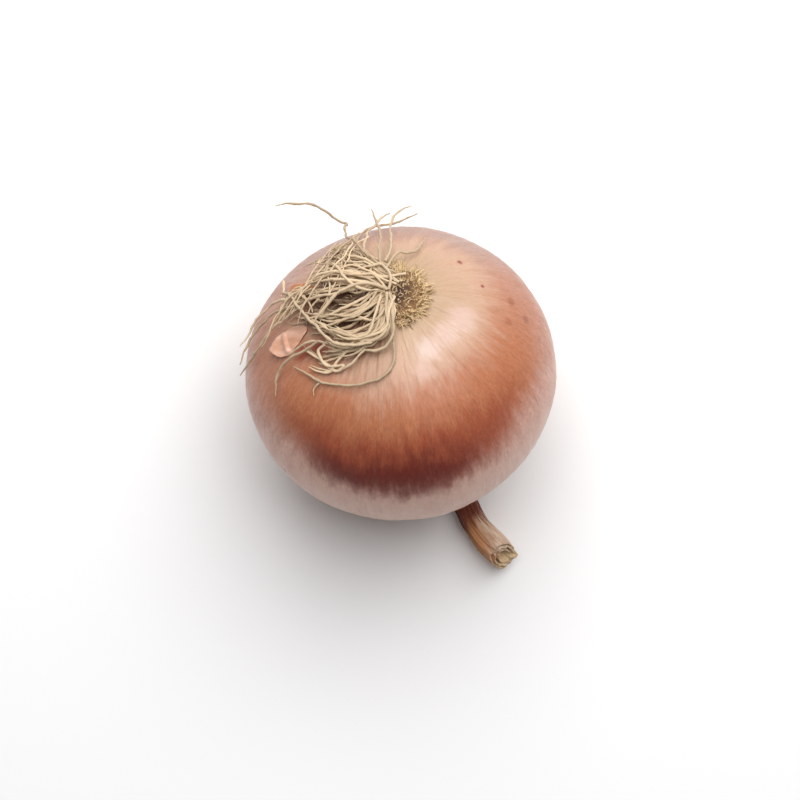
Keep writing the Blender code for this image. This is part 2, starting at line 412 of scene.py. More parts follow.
@dataclass(frozen=True)
class Strips:
    """Noise drawn out into strips that run from the neck to the roots.

    Attributes:
        width: how wide a strip is at the belt, in millimetres.
        along: how fast the noise changes along a strip, against across it.
        detail: how many finer layers it has.
        roughness: how strong those are.
    """

    width: float
    along: float
    detail: float = 3.0
    roughness: float = 0.5


@dataclass(frozen=True)
class Band:
    """A belt of one colour round the bulb, strongest where it faces its heading.

    Attributes:
        colour: its colour.
        heading: where it is strongest: 0 is the front, 90 the right, -90 the left and 180 the back.
        spread: how far to either side it has faded away, in degrees.
        top: the drops between which its upper edge fades in.
        foot: the drops between which its lower edge fades out.
        climb: how far its lower edge climbs from the heading to the far side, halved, in degrees.
        strength: how much of the colour below it covers.
    """

    colour: str
    heading: float
    spread: float
    top: tuple[float, float]
    foot: tuple[float, float]
    climb: float = 0.0
    strength: float = 0.9


@dataclass(frozen=True)
class ColourSpot:
    """A small darker or paler spot on the scale, used for real blotches, for a painted highlight and for
    painted shade: where it is, its size in degrees of drop, and its colour.
    """

    turn: float
    drop: float
    size: float
    colour: str
    strength: float = 1.0


@dataclass(frozen=True)
class ScaleFinish:
    """Dry onion scale: the leaf base that dried to a papery, half-gloss skin.

    It grew in strips from the neck to the roots, so its veins and blotches run along it. To the eye that gives
    combed grain, pale and yellow at the root plate, copper over the shoulder, red-brown at the belt, and a
    pale pink neck half whose palest part, next to the belt, is partly a painted reflection of the floor. Light
    is
    painted in as well: a painted highlight of pale spots on the shoulder, and painted shade on the skin under
    the matted roots and in the hollow under the torn flap.
    """

    tones: tuple[tuple[float, str], ...] = (
        # The pale pink at drops 92 and 110 is partly the neck half's own paler colour and partly a painted
        # reflection of the white floor round the rim.
        (15, "b89a7c"), (30, "c49e84"), (45, "bc8a72"), (60, "b8826c"), (75, "c49484"), (92, "dab0a0"),
        (110, "e2baa8"), (130, "d0a08c"), (150, "c08a70"), (162, "b07858"), (173, "8c5038"))
    bands: tuple[Band, ...] = (
        Band("a8887c", 180, 80, top=(30, 45), foot=(75, 100), strength=0.8),
        # Painted shade: the left side next to the root plate is darkened where the matted roots shade the skin.
        Band("94684e", -65, 80, top=(0, 5), foot=(20, 42), strength=0.85),
        Band("b06c48", 15, 130, top=(32, 50), foot=(60, 80)),
        Band("964830", 5, 75, top=(48, 64), foot=(74, 97), climb=45),
        Band("68221a", -2, 42, top=(60, 74), foot=(78, 96), climb=45))
    stains_and_painted_light: tuple[ColourSpot, ...] = (
        ColourSpot(37, 33, 1.1, "93483a"), ColourSpot(14, 36, 0.8, "8f4436"), ColourSpot(222, 96, 1.0, "3a1f18"),
        # The next two dark red spots are the redder inner scale bared by the tear, darkened with painted shade
        # in the hollow under the torn flap.
        ColourSpot(213, 32, 4.0, "7a2a1e", 0.85), ColourSpot(207, 38, 4.5, "8f3a24", 0.8),
        ColourSpot(8, 49, 2.2, "93502f", 0.6), ColourSpot(355, 47, 1.8, "9a5534", 0.5),
        ColourSpot(2, 57, 2.0, "8a4a30", 0.6), ColourSpot(357, 66, 1.8, "96604a", 0.45),
        # The next four pale pink spots, at turns 302, 342, 323 and 292, are a painted highlight on the shoulder
        # by the root plate.
        ColourSpot(302, 26, 5.0, "dcc2b8", 0.7),
        ColourSpot(342, 28, 6.0, "d6b8ae", 0.6), ColourSpot(323, 26, 5.0, "d8bcb2", 0.6),
        # The last two spots, at turns 190 and 175, are painted shade on the skin under the matted roots.
        ColourSpot(292, 33, 4.0, "d6b4a6", 0.5), ColourSpot(190, 17, 11.0, "54392c", 0.8),
        ColourSpot(175, 26, 8.0, "7a4c34", 0.7))
    full_share: float = 0.4  # of a band's spread, over which it is at its full strength

    comb: Strips = Strips(2.344, 0.3, 5.0, 0.62)  # frays the bands' edges
    comb_depth: float = 0.36  # how far, in radians of drop
    sway: Strips = Strips(14.42, 1.0, 3.0, 0.55)  # swings them up and down
    sway_depth: float = 0.3
    ragged: Strips = Strips(1.103, 0.35)  # frays the spots' edges

    fibre: Strips = Strips(0.4412, 0.3, 4.0, 0.7)
    fibre_shades: tuple[float, float] = (0.76, 1.2)  # its darkest and lightest
    belt_top: tuple[float, float] = (0.55, 1.0)  # the drops, in radians, over which the fibre gets stronger
    belt_foot: tuple[float, float] = (1.62, 1.3)  # and weaker again
    fibre_at_plate: float = 0.4
    fibre_at_belt: float = 0.95
    fibre_at_neck: float = 0.4

    vein: Strips = Strips(2.5, 0.03, 3.0, 0.6)
    vein_patch: Strips = Strips(10.714, 0.8, 2.0)  # where the veins show
    vein_width: tuple[float, float] = (0.012, 0.003)
    vein_strength: float = 0.34
    vein_colour: str = "8a5a48"

    polish: Strips = Strips(2.679, 0.3)
    roughness: float = 0.42
    roughness_swing: float = 0.1
    rib: Strips = Strips(0.7813, 0.12, 4.0)
    rib_height: float = 0.2

    def build(self) -> bpy.types.Material:
        """Builds the material. It reads the bulb's own "around" and "drop" attributes.

        Returns:
            The material.
        """
        material, tree = new_material("dry_onion_scale")
        around = add_node(tree, "ShaderNodeAttribute", attribute_name="around").outputs["Vector"]
        drop = add_node(tree, "ShaderNodeAttribute", attribute_name="drop").outputs["Fac"]
        colour = self.regions(tree, around, drop)
        colour = self.marks(tree, colour, around, drop)
        colour = self.grain(tree, colour, around, drop)
        colour = self.veins(tree, colour, around, drop)
        ribs = self.strips(tree, self.rib, around, drop)
        bump = add_node(tree, "ShaderNodeBump", {"Height": ribs, "Strength": 0.3,
                                                 "Distance": self.rib_height * MM})
        finish_material(tree, {"Base Color": colour, "Roughness": self.gloss(tree, around, drop), "IOR": 1.42,
                               "Normal": bump.outputs[0], "Sheen Weight": 0.06, "Sheen Roughness": 0.5,
                               "Sheen Tint": linear("f2d2c6")})
        return material

    @staticmethod
    def strips(tree: Any, look: Strips, around: Any, drop: Any) -> Any:
        """Draws one set of strips.

        Args:
            tree: the material's tree.
            look: the strips' sizes.
            around: the unit vector round the axis.
            drop: the drop in radians.

        Returns:
            A value socket.
        """
        slow = add_node(tree, "ShaderNodeMath", {0: drop, 1: look.along}, operation="MULTIPLY")
        rise = add_node(tree, "ShaderNodeCombineXYZ", {"Z": slow.outputs[0]})
        place = add_node(tree, "ShaderNodeVectorMath", {0: around, 1: rise.outputs[0]}, operation="ADD")
        return add_node(tree, "ShaderNodeTexNoise", {
            "Vector": place.outputs[0], "Scale": BELT_RADIUS / look.width, "Detail": look.detail,
            "Roughness": look.roughness}).outputs["Fac"]

    def regions(self, tree: Any, around: Any, drop: Any) -> Any:
        """Lays the bands over the tones, with combed edges.

        Args:
            tree: the material's tree.
            around: the unit vector round the axis.
            drop: the drop in radians.

        Returns:
            A colour socket.
        """
        level = drop
        for look, depth in ((self.comb, self.comb_depth), (self.sway, self.sway_depth)):
            centred = add_node(tree, "ShaderNodeMath", {0: self.strips(tree, look, around, drop), 1: 0.5},
                               operation="SUBTRACT")
            level = add_node(tree, "ShaderNodeMath", {0: centred.outputs[0], 1: depth, 2: level},
                             operation="MULTIPLY_ADD").outputs[0]
        colour = self.ramp(tree, level)
        for band in self.bands:
            colour = add_node(tree, "ShaderNodeMix", {
                FACTOR: self.cover(tree, band, around, level), FIRST: colour, SECOND: linear(band.colour)},
                **COLOURS).outputs[MIXED]
        return colour

    def ramp(self, tree: Any, level: Any) -> Any:
        """Runs through the tones from the root plate to the neck.

        Args:
            tree: the material's tree.
            level: the drop in radians, with combed edges.

        Returns:
            A colour socket.
        """
        share = add_node(tree, "ShaderNodeMath", {0: level, 1: 1 / math.pi}, operation="MULTIPLY").outputs[0]
        node = add_node(tree, "ShaderNodeValToRGB", {"Fac": share})
        elements = node.color_ramp.elements
        while len(elements) < len(self.tones):
            elements.new(0.5)
        for element, (down, code) in zip(elements, self.tones):
            element.position = down / 180
            element.color = linear(code)
        return node.outputs["Color"]

    def cover(self, tree: Any, band: Band, around: Any, level: Any) -> Any:
        """Works out how much a band covers, from 0 to its strength.

        Args:
            tree: the material's tree.
            band: the band.
            around: the unit vector round the axis.
            level: the drop in radians, with combed edges.

        Returns:
            A value socket.
        """
        way = math.radians(band.heading)
        facing = add_node(tree, "ShaderNodeVectorMath", {0: around, 1: (math.sin(way), -math.cos(way), 0)},
                          operation="DOT_PRODUCT").outputs["Value"]
        climbing = add_node(tree, "ShaderNodeMath", {0: facing, 1: -math.radians(band.climb), 2: level},
                            operation="MULTIPLY_ADD").outputs[0]
        fading, full = band.foot[1] - band.climb, band.foot[0] - band.climb
        spread = math.radians(band.spread)
        weight = band.strength
        for value, start, end in ((level, math.radians(band.top[0]), math.radians(band.top[1])),
                                  (climbing, math.radians(fading), math.radians(full)),
                                  (facing, math.cos(spread), math.cos(spread * self.full_share))):
            edge = add_node(tree, "ShaderNodeMapRange", {"Value": value, "From Min": start, "From Max": end},
                            **SMOOTH)
            weight = add_node(tree, "ShaderNodeMath", {0: edge.outputs[0], 1: weight},
                              operation="MULTIPLY").outputs[0]
        return weight

    def marks(self, tree: Any, colour: Any, around: Any, drop: Any) -> Any:
        """Adds the small spots: real blotches, a painted highlight and painted shade.

        Args:
            tree: the material's tree.
            colour: the colour below them.
            around: the unit vector round the axis.
            drop: the drop in radians.

        Returns:
            A colour socket.
        """
        ragged = self.strips(tree, self.ragged, around, drop)
        for colour_spot in self.stains_and_painted_light:
            weight = self.colour_spot_cover(tree, colour_spot, ragged, around, drop)
            colour = add_node(tree, "ShaderNodeMix", {
                FACTOR: weight, FIRST: colour, SECOND: linear(colour_spot.colour)}, **COLOURS).outputs[MIXED]
        return colour

    @staticmethod
    def colour_spot_cover(tree: Any, colour_spot: ColourSpot, ragged: Any, around: Any, drop: Any) -> Any:
        """Works out how much one spot covers, with a combed, soft edge.

        Args:
            tree: the material's tree.
            colour_spot: the stain.
            ragged: the noise that frays its edge.
            around: the unit vector round the axis.
            drop: the drop in radians.

        Returns:
            A value socket.
        """
        turn, down, size = math.radians(colour_spot.turn), math.radians(colour_spot.drop), math.radians(colour_spot.size)
        apart = add_node(tree, "ShaderNodeVectorMath", {0: around, 1: (math.cos(turn), math.sin(turn), 0)},
                         operation="DISTANCE")
        level = add_node(tree, "ShaderNodeMath", {0: drop, 1: down}, operation="SUBTRACT")
        aside = add_node(tree, "ShaderNodeMath", {0: apart.outputs["Value"], 1: math.sin(down)},
                         operation="MULTIPLY")
        both = add_node(tree, "ShaderNodeCombineXYZ", {"X": aside.outputs[0], "Y": level.outputs[0]})
        far = add_node(tree, "ShaderNodeVectorMath", {0: both.outputs[0]}, operation="LENGTH")
        uneven = add_node(tree, "ShaderNodeMath", {0: ragged, 1: size * 1.2, 2: far.outputs["Value"]},
                          operation="MULTIPLY_ADD")
        inside = add_node(tree, "ShaderNodeMapRange", {"Value": uneven.outputs[0], "From Min": size * 2.0,
                                                       "From Max": size * 0.9}, **SMOOTH)
        return add_node(tree, "ShaderNodeMath", {0: inside.outputs[0], 1: colour_spot.strength},
                        operation="MULTIPLY").outputs[0]

    def grain(self, tree: Any, colour: Any, around: Any, drop: Any) -> Any:
        """Draws the fine fibre of the scale, strongest at the belt.

        Args:
            tree: the material's tree.
            colour: the colour below it.
            around: the unit vector round the axis.
            drop: the drop in radians.

        Returns:
            A colour socket.
        """
        dark, light = self.fibre_shades
        shade = add_node(tree, "ShaderNodeMapRange", {
            "Value": self.strips(tree, self.fibre, around, drop), "From Min": 0.3, "From Max": 0.7,
            "To Min": dark, "To Max": light})
        strengths = []
        for (start, end), weakest, strongest in ((self.belt_top, self.fibre_at_plate, self.fibre_at_belt),
                                                 (self.belt_foot, self.fibre_at_neck, 1.0)):
            rise = add_node(tree, "ShaderNodeMapRange", {"Value": drop, "From Min": start, "From Max": end},
                            **SMOOTH)
            strengths.append(add_node(tree, "ShaderNodeMapRange", {
                "Value": rise.outputs[0], "To Min": weakest, "To Max": strongest}).outputs[0])
        strength = add_node(tree, "ShaderNodeMath", {0: strengths[0], 1: strengths[1]}, operation="MULTIPLY")
        tinted = add_node(tree, "ShaderNodeMix", {0: strength.outputs[0], 2: 1.0, 3: shade.outputs[0]},
                          data_type="FLOAT")
        return add_node(tree, "ShaderNodeVectorMath", {0: colour, "Scale": tinted.outputs[0]},
                        operation="SCALE").outputs[0]

    def veins(self, tree: Any, colour: Any, around: Any, drop: Any) -> Any:
        """Draws a few long thin veins, in patches.

        Args:
            tree: the material's tree.
            colour: the colour below them.
            around: the unit vector round the axis.
            drop: the drop in radians.

        Returns:
            A colour socket.
        """
        offset = add_node(tree, "ShaderNodeMath", {0: self.strips(tree, self.vein, around, drop), 1: 0.5},
                          operation="SUBTRACT")
        ridge = add_node(tree, "ShaderNodeMath", {0: offset.outputs[0]}, operation="ABSOLUTE")
        outer, inner = self.vein_width
        line = add_node(tree, "ShaderNodeMapRange", {"Value": ridge.outputs[0], "From Min": outer,
                                                     "From Max": inner}, **SMOOTH)
        here = add_node(tree, "ShaderNodeMapRange", {
            "Value": self.strips(tree, self.vein_patch, around, drop), "From Min": 0.45, "From Max": 0.68},
            **SMOOTH)
        weight = add_node(tree, "ShaderNodeMath", {0: line.outputs[0], 1: here.outputs[0]},
                          operation="MULTIPLY")
        weight = add_node(tree, "ShaderNodeMath", {0: weight.outputs[0], 1: self.vein_strength},
                          operation="MULTIPLY")
        return add_node(tree, "ShaderNodeMix", {FACTOR: weight.outputs[0], FIRST: colour,
                                                SECOND: linear(self.vein_colour)}, **COLOURS).outputs[MIXED]

    def gloss(self, tree: Any, around: Any, drop: Any) -> Any:
        """Sets a roughness that differs from strip to strip.

        Args:
            tree: the material's tree.
            around: the unit vector round the axis.
            drop: the drop in radians.

        Returns:
            A value socket.
        """
        return add_node(tree, "ShaderNodeMapRange", {
            "Value": self.strips(tree, self.polish, around, drop), "From Min": 0.3, "From Max": 0.7,
            "To Min": self.roughness - self.roughness_swing,
            "To Max": self.roughness + self.roughness_swing}).outputs[0]


@dataclass(frozen=True)
class FibreFinish:
    """Dry root: a thin straw-like fibre, matt and a little crinkled.

    It grew as a white root and dried to straw. To the eye that gives cream strands, each a little different,
    and the roots deep in the mat get a darker tone as painted shade.
    """

    name: str = "dry_root_straw"
    light: str = "e2c9a6"
    dark: str = "6b4f38"
    grain: float = 1.4
    grain_depth: float = 0.2
    roughness: float = 0.75

    def build(self) -> bpy.types.Material:
        """Builds the material. It reads each root's own "tone" attribute.

        Returns:
            The material.
        """
        material, tree = new_material(self.name)
        place = add_node(tree, "ShaderNodeTexCoord").outputs["Object"]
        tone = add_node(tree, "ShaderNodeAttribute", attribute_name="tone").outputs["Fac"]
        grain = add_node(tree, "ShaderNodeTexNoise", {
            "Vector": place, "Scale": 1 / (self.grain * MM), "Detail": 4.0, "Roughness": 0.6}).outputs["Fac"]
        mixed = add_node(tree, "ShaderNodeMath", {0: grain, 1: 0.5, 2: tone}, operation="MULTIPLY_ADD")
        share = add_node(tree, "ShaderNodeMapRange", {"Value": mixed.outputs[0], "From Min": 0.2,
                                                      "From Max": 1.5})
        colour = add_node(tree, "ShaderNodeMix", {FACTOR: share.outputs[0], FIRST: linear(self.light),
                                                  SECOND: linear(self.dark)}, **COLOURS)
        bump = add_node(tree, "ShaderNodeBump", {"Height": grain, "Strength": 0.5,
                                                 "Distance": self.grain_depth * MM})
        finish_material(tree, {"Base Color": colour.outputs[MIXED], "Roughness": self.roughness,
                               "Normal": bump.outputs[0], "IOR": 1.45, "Sheen Weight": 0.15})
        return material


@dataclass(frozen=True)
class CorkFinish:
    """Root plate: the hard corky base of the onion, cracked and matt as it dried."""

    core: str = "3f2a25"
    rim: str = "8a6644"
    grain: float = 10 / 9
    grain_depth: float = 0.6
    rim_edge: tuple[float, float] = (0.75, 1.25)

    def build(self) -> bpy.types.Material:
        """Builds the material. It reads the plate's own "share" attribute, 0 in the middle and 1 at the rim.

        Returns:
            The material.
        """
        material, tree = new_material("dry_root_cork")
        place = add_node(tree, "ShaderNodeTexCoord").outputs["Object"]
        share = add_node(tree, "ShaderNodeAttribute", attribute_name="share").outputs["Fac"]
        grain = add_node(tree, "ShaderNodeTexNoise", {
            "Vector": place, "Scale": 1 / (self.grain * MM), "Detail": 6.0, "Roughness": 0.7}).outputs["Fac"]
        moved = add_node(tree, "ShaderNodeMath", {0: grain, 1: 0.8, 2: share}, operation="MULTIPLY_ADD")
        inner, outer = self.rim_edge
        edge = add_node(tree, "ShaderNodeMapRange", {"Value": moved.outputs[0], "From Min": inner,
                                                     "From Max": outer})
        colour = add_node(tree, "ShaderNodeMix", {FACTOR: edge.outputs[0], FIRST: linear(self.core),
                                                  SECOND: linear(self.rim)}, **COLOURS)
        bump = add_node(tree, "ShaderNodeBump", {"Height": grain, "Strength": 0.9,
                                                 "Distance": self.grain_depth * MM})
        finish_material(tree, {"Base Color": colour.outputs[MIXED], "Roughness": 0.9,
                               "Normal": bump.outputs[0], "IOR": 1.45})
        return material


@dataclass(frozen=True)
class NeckFinish:
    """Dry neck: withered leaf bases twisted together, fibrous and matt, dark where they leave the bulb."""

    base: str = "6b2a12"
    collar: str = "a06a4c"
    ochre: str = "b98052"
    cut: str = "d2b48c"
    middle: str = "b8926f"
    pale: str = "e0cbb8"
    half_width: float = 3.5  # of the neck, in millimetres
    fibre: float = 0.5
    fibre_depth: float = 0.6
    collar_edge: tuple[float, float] = (0.36, 0.56)  # shares along the neck, moved by the fibre
    leaf_edge: tuple[float, float] = (0.86, 1.02)
    ochre_edge: tuple[float, float] = (0.98, 1.35)
    cut_edge: tuple[float, float] = (1.0, 1.1)

    def build(self) -> bpy.types.Material:
        """Builds the material. It reads the neck's own "wrap" and "along" attributes.

        Returns:
            The material.
        """
        material, tree = new_material("dry_neck_leaf")
        wrap = add_node(tree, "ShaderNodeAttribute", attribute_name="wrap").outputs["Vector"]
        along = add_node(tree, "ShaderNodeAttribute", attribute_name="along").outputs["Fac"]
        fibre = add_node(tree, "ShaderNodeTexNoise", {"Vector": wrap, "Scale": self.half_width / self.fibre,
                                                      "Detail": 7.0, "Roughness": 0.68}).outputs["Fac"]
        uneven = add_node(tree, "ShaderNodeMath", {0: fibre, 1: 0.5, 2: along},
                          operation="MULTIPLY_ADD").outputs[0]
        colour = self.leaf(tree, wrap, along, fibre, uneven)
        torn = add_node(tree, "ShaderNodeMapRange", {"Value": along, "From Min": self.cut_edge[0],
                                                     "From Max": self.cut_edge[1]})
        colour = add_node(tree, "ShaderNodeMix", {FACTOR: torn.outputs[0], FIRST: colour,
                                                  SECOND: linear(self.cut)}, **COLOURS)
        bump = add_node(tree, "ShaderNodeBump", {"Height": fibre, "Strength": 0.8,
                                                 "Distance": self.fibre_depth * MM})
        finish_material(tree, {"Base Color": colour.outputs[MIXED], "Roughness": 0.72,
                               "Normal": bump.outputs[0], "IOR": 1.45, "Sheen Weight": 0.2})
        return material

    def leaf(self, tree: Any, wrap: Any, along: Any, fibre: Any, uneven: Any) -> Any:
        """Runs from the dark base through the ochre side to the pale leaf.

        Args:
            tree: the material's tree.
            wrap: the place round the neck.
            along: the share along the neck.
            fibre: the noise of the fibre.
            uneven: the share along the neck, moved by the fibre.

        Returns:
            A colour socket.
        """
        down = add_node(tree, "ShaderNodeMapRange", {"Value": uneven, "From Min": self.leaf_edge[0],
                                                     "From Max": self.leaf_edge[1]}, **SMOOTH)
        side = add_node(tree, "ShaderNodeSeparateXYZ", {0: wrap})
        beside = add_node(tree, "ShaderNodeMath", {0: side.outputs["X"], 1: -0.3, 2: along},
                          operation="MULTIPLY_ADD")
        beside = add_node(tree, "ShaderNodeMath", {0: fibre, 1: 0.6, 2: beside.outputs[0]},
                          operation="MULTIPLY_ADD")
        past_ochre = add_node(tree, "ShaderNodeMapRange", {
            "Value": beside.outputs[0], "From Min": self.ochre_edge[0], "From Max": self.ochre_edge[1]})
        body = add_node(tree, "ShaderNodeMapRange", {"Value": fibre, "From Min": 0.36, "From Max": 0.64})
        flesh = add_node(tree, "ShaderNodeMix", {FACTOR: body.outputs[0], FIRST: linear(self.middle),
                                                 SECOND: linear(self.pale)}, **COLOURS)
        warm = add_node(tree, "ShaderNodeMix", {FACTOR: past_ochre.outputs[0], FIRST: linear(self.ochre),
                                                SECOND: flesh.outputs[MIXED]}, **COLOURS)
        near = add_node(tree, "ShaderNodeMapRange", {"Value": uneven, "From Min": self.collar_edge[0],
                                                     "From Max": self.collar_edge[1]})
        dark = add_node(tree, "ShaderNodeMix", {FACTOR: near.outputs[0], FIRST: linear(self.collar),
                                                SECOND: linear(self.base)}, **COLOURS)
        return add_node(tree, "ShaderNodeMix", {FACTOR: down.outputs[0], FIRST: dark.outputs[MIXED],
                                                SECOND: warm.outputs[MIXED]}, **COLOURS).outputs[MIXED]


@dataclass(frozen=True)
class PlainFinish:
    """A studio surface with no pattern of its own: the painted floor."""

    name: str
    colour: str
    roughness: float
    shine: float = 0.1

    def build(self) -> bpy.types.Material:
        """Builds the material.

        Returns:
            The material.
        """
        material, tree = new_material(self.name)
        finish_material(tree, {"Base Color": linear(self.colour), "Roughness": self.roughness,
                               "Specular IOR Level": self.shine})
        return material


# ---------------------------------------------------------------- the bulb


@dataclass
class Bulb:
    """The bulb in its dry scale: turned from its form, then pleated and ribbed by a geometry tree."""

    form: BulbForm
    turns: int = 384
    drops: int = 236
    pleat: float = 0.32
    pleat_width: float = 5.0
    rib: float = 0.09
    rib_width: float = 1.25
    lump: float = 0.5
    lump_width: float = 500 / 19
    along: float = 0.25  # how fast pleats and ribs change along themselves, against across
    pleats_start: tuple[float, float] = (0.1, 0.3)  # in radians of drop
    pleats_end: tuple[float, float] = (1.15, 0.35)
    seed: int = 3

    def build(self, finish: ScaleFinish) -> bpy.types.Object:
        """Builds and dresses the bulb.

        Args:
            finish: the scale's finish.

        Returns:
            The finished piece.
        """
        obj = self.turned()
        tree = self.relief_tree()
        run_tree(obj, tree, {"Pleat": self.pleat * MM, "Rib": self.rib * MM, "Lump": self.lump * MM,
                             "Seed": float(self.seed), "Material": finish.build()})
        return claim(obj, "onion_skin", "bulb")

    def turned(self) -> bpy.types.Object:
        """Turns the bare bulb as one closed mesh with its "around" and "drop" attributes.

        Returns:
            The bare piece.
        """
        drops = np.linspace(0, math.pi, self.drops + 1)[1:-1]
        turns = np.linspace(0, 2 * math.pi, self.turns, endpoint=False)
        drop, turn = (grid.ravel() for grid in np.meshgrid(drops, turns, indexing="ij"))
        turn, drop = np.append(turn, [0, 0]), np.append(drop, [0, math.pi])
        points = self.form.places(turn, drop)
        rows = len(drops)
        grid = np.arange(rows * self.turns).reshape(rows, self.turns)
        ahead = np.roll(grid, -1, axis=1)
        quads = np.stack([grid[:-1], grid[1:], ahead[1:], ahead[:-1]], -1).reshape(-1, 4)
        top, bottom = rows * self.turns, rows * self.turns + 1
        caps = [(top, int(a), int(b)) for a, b in zip(grid[0], ahead[0])]
        caps += [(bottom, int(b), int(a)) for a, b in zip(grid[-1], ahead[-1])]
        obj = new_object("bulb_scale", points.tolist(), [], quads.tolist() + caps)
        flat = np.where(np.sin(drop) < 1e-6, 0.0, 1.0)
        set_attribute(obj, "around", np.stack([np.cos(turn) * flat, np.sin(turn) * flat, turn * 0], -1))
        set_attribute(obj, "drop", drop)
        return obj

    def relief_tree(self) -> bpy.types.NodeTree:
        """Builds the tree that pleats the skin at the root plate, ribs it and sets it flat where it rests.

        Returns:
            The tree, with inputs Pleat, Rib, Lump, Seed and Material.
        """
        tree, start, end = new_tree("scale_relief", {
            "Pleat": ("NodeSocketFloat", 0.0003), "Rib": ("NodeSocketFloat", 0.0001),
            "Lump": ("NodeSocketFloat", 0.0005), "Seed": ("NodeSocketFloat", 0.0),
            "Material": ("NodeSocketMaterial", None)})
        around = add_node(tree, "GeometryNodeInputNamedAttribute", {"Name": "around"},
                          data_type="FLOAT_VECTOR")
        drop = add_node(tree, "GeometryNodeInputNamedAttribute", {"Name": "drop"}, data_type="FLOAT")
        slow = add_node(tree, "ShaderNodeMath", {0: drop.outputs[0], 1: self.along}, operation="MULTIPLY")
        rise = add_node(tree, "ShaderNodeCombineXYZ", {"Z": slow.outputs[0]})
        strip = add_node(tree, "ShaderNodeVectorMath", {0: around.outputs[0], 1: rise.outputs[0]},
                         operation="ADD").outputs[0]
        place = add_node(tree, "GeometryNodeInputPosition").outputs[0]
        edges = []
        for start_at, full_at in (self.pleats_start, self.pleats_end):
            edges.append(add_node(tree, "ShaderNodeMapRange", {
                "Value": drop.outputs[0], "From Min": start_at, "From Max": full_at}, **SMOOTH).outputs[0])
        near = add_node(tree, "ShaderNodeMath", {0: edges[0], 1: edges[1]}, operation="MULTIPLY").outputs[0]
        total = None
        for where, scale, detail, size, share in (
                (strip, BELT_RADIUS / self.pleat_width, 3.0, "Pleat", near),
                (strip, BELT_RADIUS / self.rib_width, 2.0, "Rib", None),
                (place, 1 / (self.lump_width * MM), 1.0, "Lump", None)):
            texture = add_node(tree, "ShaderNodeTexNoise", {
                "Vector": where, "Scale": scale, "Detail": detail, "W": start.outputs["Seed"]},
                noise_dimensions="4D")
            centred = add_node(tree, "ShaderNodeMath", {0: texture.outputs[0], 1: 0.55}, operation="SUBTRACT")
            height = add_node(tree, "ShaderNodeMath", {0: centred.outputs[0], 1: start.outputs[size]},
                              operation="MULTIPLY").outputs[0]
            if share is not None:
                height = add_node(tree, "ShaderNodeMath", {0: height, 1: share},
                                  operation="MULTIPLY").outputs[0]
            scaled = add_node(tree, "ShaderNodeMath", {0: height, 1: NOISE_TO_UNIT},
                              operation="MULTIPLY").outputs[0]
            total = scaled if total is None else add_node(
                tree, "ShaderNodeMath", {0: total, 1: scaled}, operation="ADD").outputs[0]
        normal = add_node(tree, "GeometryNodeInputNormal")
        offset = add_node(tree, "ShaderNodeVectorMath", {0: normal.outputs[0], "Scale": total},
                          operation="SCALE")
        moved = add_node(tree, "GeometryNodeSetPosition", {"Geometry": start.outputs["Geometry"],
                                                           "Offset": offset.outputs[0]})
        after = add_node(tree, "GeometryNodeInputPosition")
        parts = add_node(tree, "ShaderNodeSeparateXYZ", {0: after.outputs[0]})
        floor = add_node(tree, "ShaderNodeMath", {0: parts.outputs["Z"], 1: 0.0}, operation="MAXIMUM")
        level = add_node(tree, "ShaderNodeCombineXYZ", {"X": parts.outputs["X"], "Y": parts.outputs["Y"],
                                                        "Z": floor.outputs[0]})
        rested = add_node(tree, "GeometryNodeSetPosition", {"Geometry": moved.outputs[0],
                                                            "Position": level.outputs[0]})
        finish_tree(tree, rested.outputs[0], start.outputs["Material"], end)
        return tree


# ---------------------------------------------------------------- roots


class RootKind(Enum):
    """How stout a root is: its radius in millimetres."""

    STOUT = 0.37
    COMMON = 0.31
    WISP = 0.2


@dataclass(frozen=True)
class Bundle:
    """A family of roots that set out together and part along the way; the deep family's dark tone is painted
    shade.
    """

    name: str
    kind: RootKind
    count: int
    spine: tuple[Stop, ...]
    spread: float
    lift_spread: float
    shorten: float = 0.4
    wander: float = 0.8
    shade: float = 0.3


